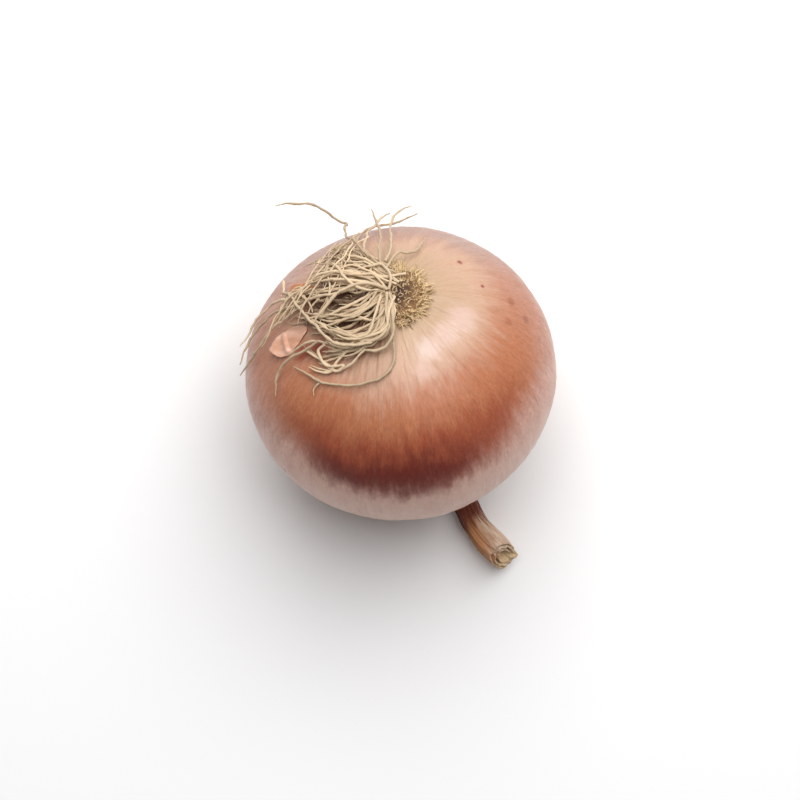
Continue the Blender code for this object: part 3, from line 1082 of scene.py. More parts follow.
@dataclass
class RootThatch:
    """Draws roots as wires and turns each set of wires into knobbly tubes with one geometry tree."""

    form: BulbForm
    step: float = 0.55
    sides: int = 8
    crook: float = 0.42
    crooks: tuple[tuple[float, float], ...] = (
        (100 / 11, 3.3), (10 / 3, 2.25), (1.25, 0.66))  # lengths, and heights as shares of the crook
    knob: float = 0.34
    knob_length: float = 10 / 9
    tip: float = 5.0  # the length over which a root thins to its end
    tip_girth: float = 0.35
    seed: int = 11
    tree: Any = field(init=False, default=None)
    material: Any = field(init=False, default=None)

    def prepare(self, finish: FibreFinish) -> None:
        """Builds the material and the tube tree once, for every set of roots."""
        self.material = finish.build()
        self.tree = self.tube_tree()

    def tube_tree(self) -> bpy.types.NodeTree:
        """Builds the tree that turns wires into tubes.

        Returns:
            The tree, with inputs Crook, Knob, Sides, Seed and Material.
        """
        tree, start, end = new_tree("dry_root_tubes", {
            "Crook": ("NodeSocketFloat", 0.0004), "Knob": ("NodeSocketFloat", 0.35),
            "Sides": ("NodeSocketInt", 8), "Seed": ("NodeSocketFloat", 0.0),
            "Material": ("NodeSocketMaterial", None)})
        girth = add_node(tree, "GeometryNodeInputNamedAttribute", {"Name": "girth"}, data_type="FLOAT")
        curve = add_node(tree, "GeometryNodeMeshToCurve", {"Mesh": start.outputs["Geometry"]})
        place = add_node(tree, "GeometryNodeInputPosition")
        offset = None
        for length, share in self.crooks:
            wave = add_node(tree, "ShaderNodeTexNoise", {
                "Vector": place.outputs[0], "Scale": 1 / (length * MM), "Detail": 2.0,
                "W": start.outputs["Seed"]}, noise_dimensions="4D")
            centred = add_node(tree, "ShaderNodeVectorMath", {0: wave.outputs["Color"], 1: (0.5, 0.5, 0.5)},
                               operation="SUBTRACT")
            sized = add_node(tree, "ShaderNodeVectorMath", {0: centred.outputs[0], "Scale": share},
                             operation="SCALE")
            offset = sized.outputs[0] if offset is None else add_node(
                tree, "ShaderNodeVectorMath", {0: offset, 1: sized.outputs[0]}, operation="ADD").outputs[0]
        crooked = add_node(tree, "ShaderNodeVectorMath", {0: offset, "Scale": start.outputs["Crook"]},
                           operation="SCALE")
        bent = add_node(tree, "GeometryNodeSetPosition", {"Geometry": curve.outputs[0],
                                                          "Offset": crooked.outputs[0]})
        knobs = add_node(tree, "ShaderNodeTexNoise", {
            "Vector": place.outputs[0], "Scale": 1 / (self.knob_length * MM), "Detail": 2.0,
            "W": start.outputs["Seed"]}, noise_dimensions="4D")
        swell = add_node(tree, "ShaderNodeMath", {0: knobs.outputs[0], 1: 0.5}, operation="SUBTRACT")
        swell = add_node(tree, "ShaderNodeMath", {0: swell.outputs[0], 1: start.outputs["Knob"]},
                         operation="MULTIPLY")
        swell = add_node(tree, "ShaderNodeMath", {0: swell.outputs[0], 1: NOISE_TO_UNIT, 2: 1.0},
                         operation="MULTIPLY_ADD")
        radius = add_node(tree, "ShaderNodeMath", {0: swell.outputs[0], 1: girth.outputs[0]},
                          operation="MULTIPLY")
        ring = add_node(tree, "GeometryNodeCurvePrimitiveCircle", {"Resolution": start.outputs["Sides"],
                                                                   "Radius": 1.0}, mode="RADIUS")
        tube = add_node(tree, "GeometryNodeCurveToMesh", {
            "Curve": bent.outputs[0], "Profile Curve": ring.outputs[0], "Scale": radius.outputs[0],
            "Fill Caps": True})
        smooth = add_node(tree, "GeometryNodeSetShadeSmooth", {"Geometry": tube.outputs[0],
                                                               "Shade Smooth": True})
        finish_tree(tree, smooth.outputs[0], start.outputs["Material"], end)
        return tree

    def tubes(self, name: str, routes: Sequence[tuple[list[Vector], float, float]],
              seed: int) -> bpy.types.Object:
        """Turns routes into one piece.

        Args:
            name: the piece's name.
            routes: for each root its points, its radius and its tone from 0, pale, to 1, dark.
            seed: for the crooks and knobs.

        Returns:
            The dressed object.
        """
        points: list[Vector] = []
        edges: list[tuple[int, int]] = []
        girth: list[float] = []
        tone: list[float] = []
        for line, radius, shade in routes:
            first = len(points)
            points += line
            edges += [(i, i + 1) for i in range(first, len(points) - 1)]
            for i in range(len(line)):
                full = min(1.0, (len(line) - 1 - i) * self.step / self.tip)
                girth.append(radius * MM * (self.tip_girth + (1 - self.tip_girth) * full))
                tone.append(shade)
        obj = new_object(name, points, edges, [])
        set_attribute(obj, "girth", np.array(girth))
        set_attribute(obj, "tone", np.array(tone))
        return run_tree(obj, self.tree, {"Crook": self.crook * MM, "Knob": self.knob, "Sides": self.sides,
                                         "Seed": float(seed), "Material": self.material})

    def route(self, stops: Sequence[Stop]) -> list[Vector]:
        """The smooth line through places on the bulb."""
        return smooth_line([self.form.on_skin(*s) for s in stops], self.step)

    def bundle(self, family: Bundle, order: int) -> bpy.types.Object:
        """Builds one family of roots as one piece.

        Args:
            family: the family's spine, size and spread.
            order: its number, for the seed.

        Returns:
            The dressed object.
        """
        chance = random.Random(self.seed + 37 * order)
        routes = []
        for _ in range(family.count):
            keep = max(3, round(len(family.spine) * (1 - family.shorten * chance.random())))
            aside = (chance.gauss(0, 1), chance.gauss(0, 1))
            height = chance.gauss(0, family.lift_spread)
            stops = []
            for k, (turn, drop, lift) in enumerate(family.spine[:keep]):
                part = family.spread * (0.5 + 0.5 * k / (len(family.spine) - 1))
                wander = family.wander * min(1.0, k / 2)
                x = drop * math.cos(math.radians(turn)) + part * aside[0] + chance.gauss(0, wander)
                y = drop * math.sin(math.radians(turn)) + part * aside[1] + chance.gauss(0, wander)
                if k == 0:
                    x, y = x + chance.gauss(0, 2.2), y + chance.gauss(0, 2.2)
                low = 0.7 if k else 1.4
                stops.append((math.degrees(math.atan2(y, x)), math.hypot(x, y), max(low, lift + height)))
            radius = family.kind.value * chance.uniform(0.82, 1.12)
            routes.append((self.route(stops), radius, family.shade + chance.uniform(-0.25, 0.35)))
        return self.tubes(family.name, routes, self.seed + order)


MAT_BUNDLES: tuple[Bundle, ...] = (
    # Painted shade: the deep family, lowest in the mat, gets a dark tone for the shade it lies in.
    Bundle("mat_roots_deep", RootKind.COMMON, 26,
           ((240, 2, 1.2), (222, 8, 1.7), (208, 14, 1.7), (196, 20, 1.5), (188, 26, 1.3), (182, 32, 1.1)),
           4.2, 0.4, 0.5, 1.3, 1.1),
    Bundle("mat_roots_left", RootKind.COMMON, 20,
           ((120, 2, 1.8), (160, 8, 3.2), (166, 15, 3.8), (168, 22, 3.6), (170, 29, 2.8), (172, 36, 1.9)),
           3.0, 0.9, 0.45, 1.0, 0.25),
    Bundle("mat_roots_upper", RootKind.COMMON, 22,
           ((100, 3, 1.8), (136, 9, 3.2), (144, 16, 3.6), (149, 23, 3.4), (154, 30, 2.6), (160, 36, 1.8)),
           2.8, 0.9, 0.5, 1.2, 0.3),
    Bundle("mat_roots_back", RootKind.WISP, 16,
           ((100, 5, 1.8), (118, 11, 2.6), (124, 18, 2.8), (130, 24, 2.6), (138, 30, 2.0)), 2.6, 0.7, 0.5, 1.3,
           0.3),
    Bundle("mat_roots_inner", RootKind.COMMON, 20,
           ((230, 2, 1.8), (228, 8, 2.6), (220, 14, 2.9), (208, 20, 2.7), (196, 26, 2.3), (186, 32, 1.8)),
           3.2, 0.7, 0.4, 1.1, 0.35),
    Bundle("mat_roots_loops", RootKind.COMMON, 20,
           ((275, 3, 1.9), (272, 10, 3.2), (264, 16, 3.2), (250, 20, 3.0), (234, 22.5, 2.8), (218, 24, 2.8),
            (203, 27, 2.8), (192, 30, 2.2)), 2.3, 0.8, 0.4, 0.7, 0.2),
    Bundle("mat_roots_low", RootKind.COMMON, 12,
           ((262, 5, 1.9), (258, 14, 2.4), (248, 22, 2.0), (236, 27, 1.6), (224, 31, 1.2), (212, 35, 1.1)),
           2.2, 0.4, 0.4, 1.1, 0.3),
    Bundle("mat_roots_frayed", RootKind.WISP, 22,
           ((168, 28, 2.6), (170, 33, 2.2), (174, 38, 1.6), (180, 43, 1.2), (186, 48, 0.9)), 4.6, 0.6, 0.5, 1.4,
           0.2),
    Bundle("mat_roots_crossing", RootKind.WISP, 18,
           ((120, 30, 2.2), (134, 25, 3.6), (150, 22, 4.2), (168, 24, 4.0), (186, 28, 3.0)), 4.4, 0.7, 0.5, 1.6,
           0.15),
)

TOP_ROOTS: dict[str, tuple[Stop, ...]] = {
    "cross": ((170, 37, 3), (190, 30, 4), (210, 27, 5), (230, 27, 5), (245, 24, 4), (258, 20, 3.5),
              (267, 16, 3.5)),
    "loop_outer": ((276, 3, 3), (278, 12, 4), (273, 19, 3), (262, 23, 2), (250, 24, 2), (238, 25, 2.5)),
    "loop_middle": ((263, 3, 3.5), (266, 10, 4.5), (268, 16, 4), (260, 20, 4), (245, 22, 3.5), (228, 23, 4),
                    (210, 26, 4.5)),
    "loop_inner": ((238, 5, 3.5), (252, 13, 5), (250, 19, 4.5), (240, 22, 4), (218, 23, 3)),
    "arc": ((240, 1, 3), (190, 5, 5), (188, 10, 6), (195, 17, 6), (202, 25, 5), (204, 28, 4)),
    "over_a": ((200, 1, 3), (173, 8, 4.5), (170, 16, 5), (166, 27, 3.5)),
    "over_b": ((143, 27, 3), (153, 18, 5), (172, 13, 5.5), (205, 8, 5.5), (223, 4, 4.5)),
    "over_hook": ((290, 1, 3), (70, 3, 4), (105, 8, 4.5), (128, 9, 4.5), (146, 12, 4.5)),
    "over_c": ((150, 8, 4), (158, 18, 5), (162, 25, 4.5), (170, 31, 3)),
    "outer_left": ((165, 43, 2), (172, 33, 3), (182, 28, 3.5), (192, 27, 3)),
    "left_twig": ((155, 48, 1.5), (162, 44, 1.5), (167, 43, 2)),
    "squiggle_a": ((220, 29, 2.5), (219, 33, 2), (228, 35, 1.5), (239, 32, 1.5), (235, 35, 1), (223, 36, 1)),
    "squiggle_b": ((239, 25, 2), (233, 32, 1.5), (231, 37, 1), (219, 40, 1)),
    "squiggle_c": ((236, 25, 2.5), (221, 28, 2.5), (211, 32, 2.5), (205, 43, 2)),
    "squiggle_d": ((211, 36, 2), (220, 35, 1.5), (230, 34, 1.5)),
}

LOOSE_ROOTS: dict[str, tuple[Stop, ...]] = {
    "root_long_back": ((118, 14, 4), (119, 24, 4.5), (118, 34, 3), (114, 42, 3.5), (111, 50, 3), (113, 53, 4),
                       (117, 52, 7.5), (121, 51, 10.5), (126, 52, 12.5), (133, 52, 15)),
    "root_upright": ((110, 8, 3), (101, 16, 3.5), (97, 24, 3.5), (98, 32, 4.5), (99, 41, 6)),
    "root_hook": ((116, 20, 3), (107, 30, 2), (103, 36, 2), (98, 43, 2), (94, 48, 3), (91, 46, 4)),
    "root_fork_right": ((120, 24, 2.5), (113, 32, 1.5), (109, 38, 1), (101, 45, 1), (92, 48, 1), (85, 50, 2),
                        (79, 50, 3.5)),
    "root_fork_low": ((95, 12, 2.5), (88, 21, 2), (90, 29, 1.5), (90, 37, 2), (88, 43, 4), (81, 45, 6)),
    "root_right": ((95, 8, 3.5), (84, 13, 3), (76, 16, 3), (70, 18, 2), (66, 24, 1), (67, 34, 1)),
    "root_left_high": ((172, 30, 3), (171, 41, 2), (170, 48, 2), (173, 57, 2), (177, 63, 2), (180, 67, 3)),
    "root_left_mid": ((178, 30, 3), (177, 41, 2), (177, 48, 2), (180, 58, 2), (184, 64, 2.5), (188, 68, 3)),
    "root_left_low": ((182, 32, 2.5), (184, 40, 2), (184, 46, 2), (188, 55, 1.5), (188, 64, 1), (189, 74, 2)),
    "root_left_bottom": ((216, 30, 3), (211, 38, 2.5), (208, 43, 2.5), (207, 49, 2), (213, 58, 1.5)),
    "root_loop_big": ((276, 10, 3.5), (275, 16, 3), (275, 22, 1.5), (272, 28, 1), (262, 34, 1), (245, 38, 1),
                      (228, 41, 1), (211, 44, 1)),
    "root_loop_inner": ((250, 24, 2), (243, 30, 1.5), (236, 34, 1), (227, 37, 1), (219, 39, 1)),
    "root_stub_low": ((229, 42, 1), (228, 45, 1), (230, 47, 1)),
}


@dataclass
class Roots:
    """All the dry roots: the mat's bundles, the strands on top of it and the loose ones."""

    thatch: RootThatch
    finish: FibreFinish
    seed: int = 5  # of the roots' girths and tones
    top_seed: int = 4
    loose_seed: int = 20

    def build(self) -> list[bpy.types.Object]:
        """Builds every root.

        Returns:
            The finished pieces.
        """
        self.thatch.prepare(self.finish)
        made = []
        for order, family in enumerate(MAT_BUNDLES):
            made.append(claim(self.thatch.bundle(family, order), "dry_root", "root_mat"))
        chance = random.Random(self.seed)
        strands = [(self.thatch.route(stops), RootKind.STOUT.value * chance.uniform(0.85, 1.0),
                    chance.uniform(0, 0.45)) for stops in TOP_ROOTS.values()]
        made.append(claim(self.thatch.tubes("mat_roots_top", strands, self.top_seed), "dry_root", "root_mat"))
        for order, (name, stops) in enumerate(LOOSE_ROOTS.items()):
            strand = [(self.thatch.route(stops), RootKind.COMMON.value, chance.uniform(0.1, 0.6))]
            piece = self.thatch.tubes(name.replace("root_", "loose_root_"), strand, self.loose_seed + order)
            made.append(claim(piece, "dry_root", name))
        return made


# ---------------------------------------------------------------- root plate


@dataclass(frozen=True)
class StubSet:
    """Like stubs that stand together.

    Attributes:
        name: the piece's name.
        count: how many there are.
        drops: the least and the greatest drop that they stand at.
        length: a stub's common length.
        lean: how far they lean outwards, from 0 for upright.
    """

    name: str
    count: int
    drops: tuple[float, float]
    length: float
    lean: float


STUB_SETS: tuple[StubSet, ...] = (
    StubSet("root_stubs", 620, (1.5, 12.5), 1.1, 0.35),
    StubSet("rim_fibres", 420, (10.5, 13.8), 1.7, 1.3),
)


@dataclass
class RootPlate:
    """The corky root plate, its snapped root stubs and the frayed fibres of its rim."""

    form: BulbForm
    rim: float = 12.0
    lobes: float = 11.0  # of the rim, which go in and out by this share of it
    lobe: float = 0.05
    height: float = 1.7
    foot: float = 0.25  # the least height over the skin
    under: float = 1.5  # how far its underside is below the skin
    edge_under: float = 0.5
    cracks: tuple[tuple[float, float], ...] = ((0.9, 0.45), (2.4, 0.5))  # widths and heights
    sides: int = 96
    rings: int = 22
    stub: float = 0.19
    stub_crook: float = 1.1
    stub_bend: float = 10 / 7  # the length of one bend of a stub
    seed: int = 8

    def lift(self, drop: float) -> float:
        """The plate's height over the skin at a drop."""
        return self.foot + self.height * max(0.0, 1 - (drop / self.rim) ** 2)

    def build(self, cork: CorkFinish, fibre: FibreFinish) -> list[bpy.types.Object]:
        """Builds and dresses the plate and its stubs.

        Args:
            cork: the plate's finish.
            fibre: the stubs' finish.

        Returns:
            The finished pieces.
        """
        plate = self.plate()
        plate.data.materials.append(cork.build())
        pieces = [claim(plate, "root_cork", "root_plate")]
        straw, tree = fibre.build(), self.stub_tree()
        for look in STUB_SETS:
            pieces.append(claim(self.stubs(look, tree, straw), "root_cork", "root_plate"))
        return pieces

    def plate(self) -> bpy.types.Object:
        """Shapes the cracked dome as one closed mesh.

        Returns:
            The bare piece, with its "share" attribute.
        """
        points, share = [], []
        for ring in range(1, self.rings + 1):
            for side in range(self.sides):
                turn = 360 * side / self.sides
                part = ring / self.rings
                drop = self.rim * part * (1 + self.lobe * math.sin(math.radians(turn) * self.lobes))
                place = self.form.on_skin(turn, drop, 0)
                rough = sum(noise.noise(place / width) * height for width, height in self.cracks)
                height = self.lift(drop) + rough * (1 - part * 0.6)
                if ring == self.rings:
                    height = -self.edge_under
                points.append(self.form.on_skin(turn, drop, height))
                share.append(part)
        points += [self.form.on_skin(0, 0, self.lift(0)), self.form.on_skin(0, 0, -self.under)]
        share += [0, 1]
        last = (self.rings - 1) * self.sides
        faces = ring_faces(self.rings, self.sides)
        faces += cap_faces(len(points) - 2, 0, self.sides)
        faces += cap_faces(len(points) - 1, last, self.sides, turned=True)
        obj = new_object("root_plate_cork", points, [], faces)
        set_attribute(obj, "share", np.array(share))
        return obj

    def stubs(self, look: StubSet, tree: bpy.types.NodeTree,
              material: bpy.types.Material) -> bpy.types.Object:
        """Sets short stubs on the plate with a geometry tree.

        Args:
            look: the set of stubs.
            tree: the tree that draws a stub on each point.
            material: their material.

        Returns:
            The dressed object.
        """
        chance = random.Random(self.seed + look.count)
        low, high = look.drops
        points, ways, sizes, tones = [], [], [], []
        for _ in range(look.count):
            turn = chance.uniform(0, 360)
            drop = math.sqrt(chance.uniform(low ** 2, high ** 2))
            place = self.form.on_skin(turn, drop, self.lift(drop) - self.foot)
            up = self.form.outward(turn, drop)
            out = (self.form.on_skin(turn, drop + 1, 0) - self.form.on_skin(turn, drop, 0)).normalized()
            astray = Vector([chance.gauss(0, 0.3 + 0.25 * look.lean) for _ in range(3)])
            points.append(place)
            ways.append((up + out * look.lean * (drop / high) + astray).normalized())
            sizes.append(look.length * chance.uniform(0.4, 1.5))
            tones.append(chance.random())
        obj = new_object(look.name, points, [], [])
        set_attribute(obj, "way", np.array([tuple(w) for w in ways]))
        set_attribute(obj, "size", np.array(sizes))
        set_attribute(obj, "tone", np.array(tones))
        return run_tree(obj, tree, {"Thickness": self.stub * MM, "Seed": float(self.seed),
                                    "Material": material})

    def stub_tree(self) -> bpy.types.NodeTree:
        """Builds the tree that puts one tapered, crooked stub on each point.

        Returns:
            The tree, with inputs Thickness, Seed and Material.
        """
        tree, start, end = new_tree("root_stubs", {
            "Thickness": ("NodeSocketFloat", 0.0002), "Seed": ("NodeSocketFloat", 0.0),
            "Material": ("NodeSocketMaterial", None)})
        way = add_node(tree, "GeometryNodeInputNamedAttribute", {"Name": "way"}, data_type="FLOAT_VECTOR")
        size = add_node(tree, "GeometryNodeInputNamedAttribute", {"Name": "size"}, data_type="FLOAT")
        line = add_node(tree, "GeometryNodeCurvePrimitiveLine", {"Start": (0, 0, 0), "End": (0, 0, MM)})
        cut = add_node(tree, "GeometryNodeResampleCurve", {"Curve": line.outputs[0], "Count": 5})
        along = add_node(tree, "GeometryNodeSplineParameter")
        taper = add_node(tree, "ShaderNodeMapRange", {"Value": along.outputs["Factor"], "To Min": 1.15,
                                                      "To Max": 0.45})
        thick = add_node(tree, "ShaderNodeMath", {0: taper.outputs[0], 1: start.outputs["Thickness"]},
                         operation="MULTIPLY")
        ring = add_node(tree, "GeometryNodeCurvePrimitiveCircle", {"Resolution": 5, "Radius": 1.0},
                        mode="RADIUS")
        stub = add_node(tree, "GeometryNodeCurveToMesh", {
            "Curve": cut.outputs[0], "Profile Curve": ring.outputs[0], "Scale": thick.outputs[0],
            "Fill Caps": True})
        turned = add_node(tree, "FunctionNodeAlignRotationToVector", {"Vector": way.outputs[0]}, axis="Z")
        stretch = add_node(tree, "ShaderNodeCombineXYZ", {"X": 1.0, "Y": 1.0, "Z": size.outputs[0]})
        placed = add_node(tree, "GeometryNodeInstanceOnPoints", {
            "Points": start.outputs["Geometry"], "Instance": stub.outputs[0],
            "Rotation": turned.outputs[0], "Scale": stretch.outputs[0]})
        real = add_node(tree, "GeometryNodeRealizeInstances", {"Geometry": placed.outputs[0]})
        place = add_node(tree, "GeometryNodeInputPosition")
        wave = add_node(tree, "ShaderNodeTexNoise", {
            "Vector": place.outputs[0], "Scale": 1 / (self.stub_bend * MM), "Detail": 1.0,
            "W": start.outputs["Seed"]}, noise_dimensions="4D")
        centred = add_node(tree, "ShaderNodeVectorMath", {0: wave.outputs["Color"], 1: (0.5, 0.5, 0.5)},
                           operation="SUBTRACT")
        crooked = add_node(tree, "ShaderNodeVectorMath", {
            0: centred.outputs[0], "Scale": self.stub_crook * MM}, operation="SCALE")
        bent = add_node(tree, "GeometryNodeSetPosition", {"Geometry": real.outputs[0],
                                                          "Offset": crooked.outputs[0]})
        finish_tree(tree, bent.outputs[0], start.outputs["Material"], end)
        return tree


# ---------------------------------------------------------------- torn scale


@dataclass(frozen=True)
class Tear:
    """One torn bit of outer scale: its outline on the bulb, its curl and its colours."""

    node: str
    outline: tuple[tuple[float, float], ...]
    curl: float
    free_heading: float
    light: str
    dark: str


TEARS: tuple[Tear, ...] = (
    Tear("torn_skin", ((200, 48), (194, 49), (189, 44), (190, 36), (196, 32), (201, 37), (203, 44)), 2.0, 192,
         "d8ab94", "c08a6c"),
    Tear("skin_flake", ((159, 42), (157, 36), (160, 29), (167, 27), (174, 29), (172, 35), (167, 40)), 1.0, 160,
         "c98a58", "9a5426"),
    Tear("skin_tip", ((133, 32), (131, 28), (127, 27), (124, 30), (127, 34)), 4.0, 130, "87463a", "5a2119"),
)


@dataclass
class TornScale:
    """Torn bits of the outer scale, thin and curled, with ragged edges."""

    form: BulbForm
    tear: Tear
    thickness: float = 0.12
    stand: float = 0.35  # its common height over the skin
    least: float = 0.15
    curl_reach: float = 9.0  # the degrees from its middle at which the curl has its full height
    crease: float = 0.9
    crease_at: float = 1.2
    crease_width: float = 1.1
    point_gap: float = 0.4  # between points of its edge, in degrees
    rings: int = 18
    streaks: tuple[float, float, float] = (20 / 3, 50 / 21, 10 / 3)
    streak_depth: float = 0.3

    def build(self) -> bpy.types.Object:
        """Builds and dresses one torn bit.

        Returns:
            The finished piece.
        """
        obj = self.sheet()
        obj.data.materials.append(self.material())
        slot = "dark_skin" if self.tear.node == "skin_tip" else "torn_skin"
        return claim(obj, slot, self.tear.node)

    def sheet(self) -> bpy.types.Object:
        """Shapes the curled sheet as one closed thin mesh.

        Returns:
            The bare piece.
        """
        flat = [flat_way(turn) * drop for turn, drop in self.tear.outline]
        middle = sum(flat, Vector()) / len(flat)
        edge = smooth_line([*flat, flat[0]], self.point_gap)[:-1]
        count = len(edge)
        top, under = [], []
        for ring in range(1, self.rings + 1):
            share = ring / self.rings
            for point in edge:
                ragged = 1 + 0.07 * noise.noise(point * 0.5) + 0.03 * noise.noise(point * 1.7)
                spot = middle + (point - middle) * share * ragged
                lift = max(self.least, self.lift(spot, middle, share))
                turn, drop = math.degrees(math.atan2(spot.y, spot.x)), spot.length
                top.append(self.form.on_skin(turn, drop, lift + self.thickness))
                under.append(self.form.on_skin(turn, drop, lift))
        half = len(top)
        last = (self.rings - 1) * count
        turn, drop = math.degrees(math.atan2(middle.y, middle.x)), middle.length
        points = top + under
        points += [self.form.on_skin(turn, drop, self.stand + self.thickness),
                   self.form.on_skin(turn, drop, self.stand)]
        faces = ring_faces(self.rings, count) + ring_faces(self.rings, count, half, turned=True)
        faces += cap_faces(len(points) - 2, 0, count)
        faces += cap_faces(len(points) - 1, half, count, turned=True)
        for side in range(count):
            a, b = last + side, last + (side + 1) % count
            faces.append((a, a + half, b + half, b))
        return new_object(self.tear.node + "_scale", points, [], faces)

    def lift(self, spot: Vector, middle: Vector, share: float) -> float:
        """Works out how high the sheet stands over the skin.

        Args:
            spot: the place on the flat map, in degrees.
            middle: the sheet's middle on it.
            share: how far out the place is, from 0 in the middle to 1 at the edge.

        Returns:
            The height.
        """
        free = flat_way(self.tear.free_heading)
        reach = max(0.0, (spot - middle).dot(free)) / self.curl_reach
        across = abs((spot - middle).cross(free).z)
        crinkle = noise.noise(spot * 0.3) * 0.35 + noise.noise(spot * 0.8) * 0.06
        past = (reach * self.curl_reach - self.crease_at) / self.crease_width
        crease = self.crease * math.exp(-past ** 2) * (1 - 0.05 * across)
        return self.stand + crinkle * share + self.tear.curl * reach ** 1.7 + crease * (1 - share ** 8)

    def material(self) -> bpy.types.Material:
        """Builds torn scale: thinner and paler than the skin below, half-gloss, streaked along its veins.

        Returns:
            The material.
        """
        material, tree = new_material(self.tear.node + "_dry_scale")
        place = add_node(tree, "ShaderNodeTexCoord").outputs["Object"]
        streak = add_node(tree, "ShaderNodeMapping", {
            "Vector": place, "Rotation": (0.3, 0.2, 0.5),
            "Scale": [1 / (width * MM) for width in self.streaks]})
        grain = add_node(tree, "ShaderNodeTexNoise", {"Vector": streak.outputs[0], "Scale": 1.0,
                                                      "Detail": 4.0}).outputs["Fac"]
        share = add_node(tree, "ShaderNodeMapRange", {"Value": grain, "From Min": 0.35, "From Max": 0.68})
        colour = add_node(tree, "ShaderNodeMix", {FACTOR: share.outputs[0], FIRST: linear(self.tear.light),
                                                  SECOND: linear(self.tear.dark)}, **COLOURS)
        bump = add_node(tree, "ShaderNodeBump", {"Height": grain, "Strength": 0.4,
                                                 "Distance": self.streak_depth * MM})
        finish_material(tree, {"Base Color": colour.outputs[MIXED], "Roughness": 0.38,
                               "Normal": bump.outputs[0], "IOR": 1.47, "Sheen Weight": 0.3})
        return material


# ---------------------------------------------------------------- neck

NECK_ROUTE: tuple[tuple[float, float, float, float, float], ...] = (
    (3.5, -22.5, 6, 4.5, 4),
    (4, -24.5, 4, 3.5, 3.5),
    (6.5, -26.5, 3.5, 3.5, 3),
    (11.5, -30.5, 3, 3, 2.8),
    (16.5, -35.5, 3, 3, 2.8),
    (19, -40.5, 4, 3, 3),
    (23, -45.5, 5, 3.5, 3),
    (27.5, -50, 7, 3.5, 3.5),
)


@dataclass(frozen=True)
class Wrap:
    """One of the leaf bases that the neck is made of.

    Attributes:
        name: the piece's name.
        size: its width as a share of the whole neck's.
        end: how far along the neck it goes, as a share.
        ragged: how far its lip goes in and out.
        folds: how deep its folds are, as a share of the outer wrap's.
    """

    name: str
    size: float
    end: float
    ragged: float
    folds: float


WRAPS: tuple[Wrap, ...] = (
    Wrap("neck_outer_wrap", 1.0, 0.975, 0.9, 1.0),
    Wrap("neck_inner_wrap", 0.78, 0.985, 0.9, 0.9),
    Wrap("neck_core", 0.5, 0.985, 0.7, 0.8),
)

CUT = 1.2  # the "along" of a torn or cut place on the neck


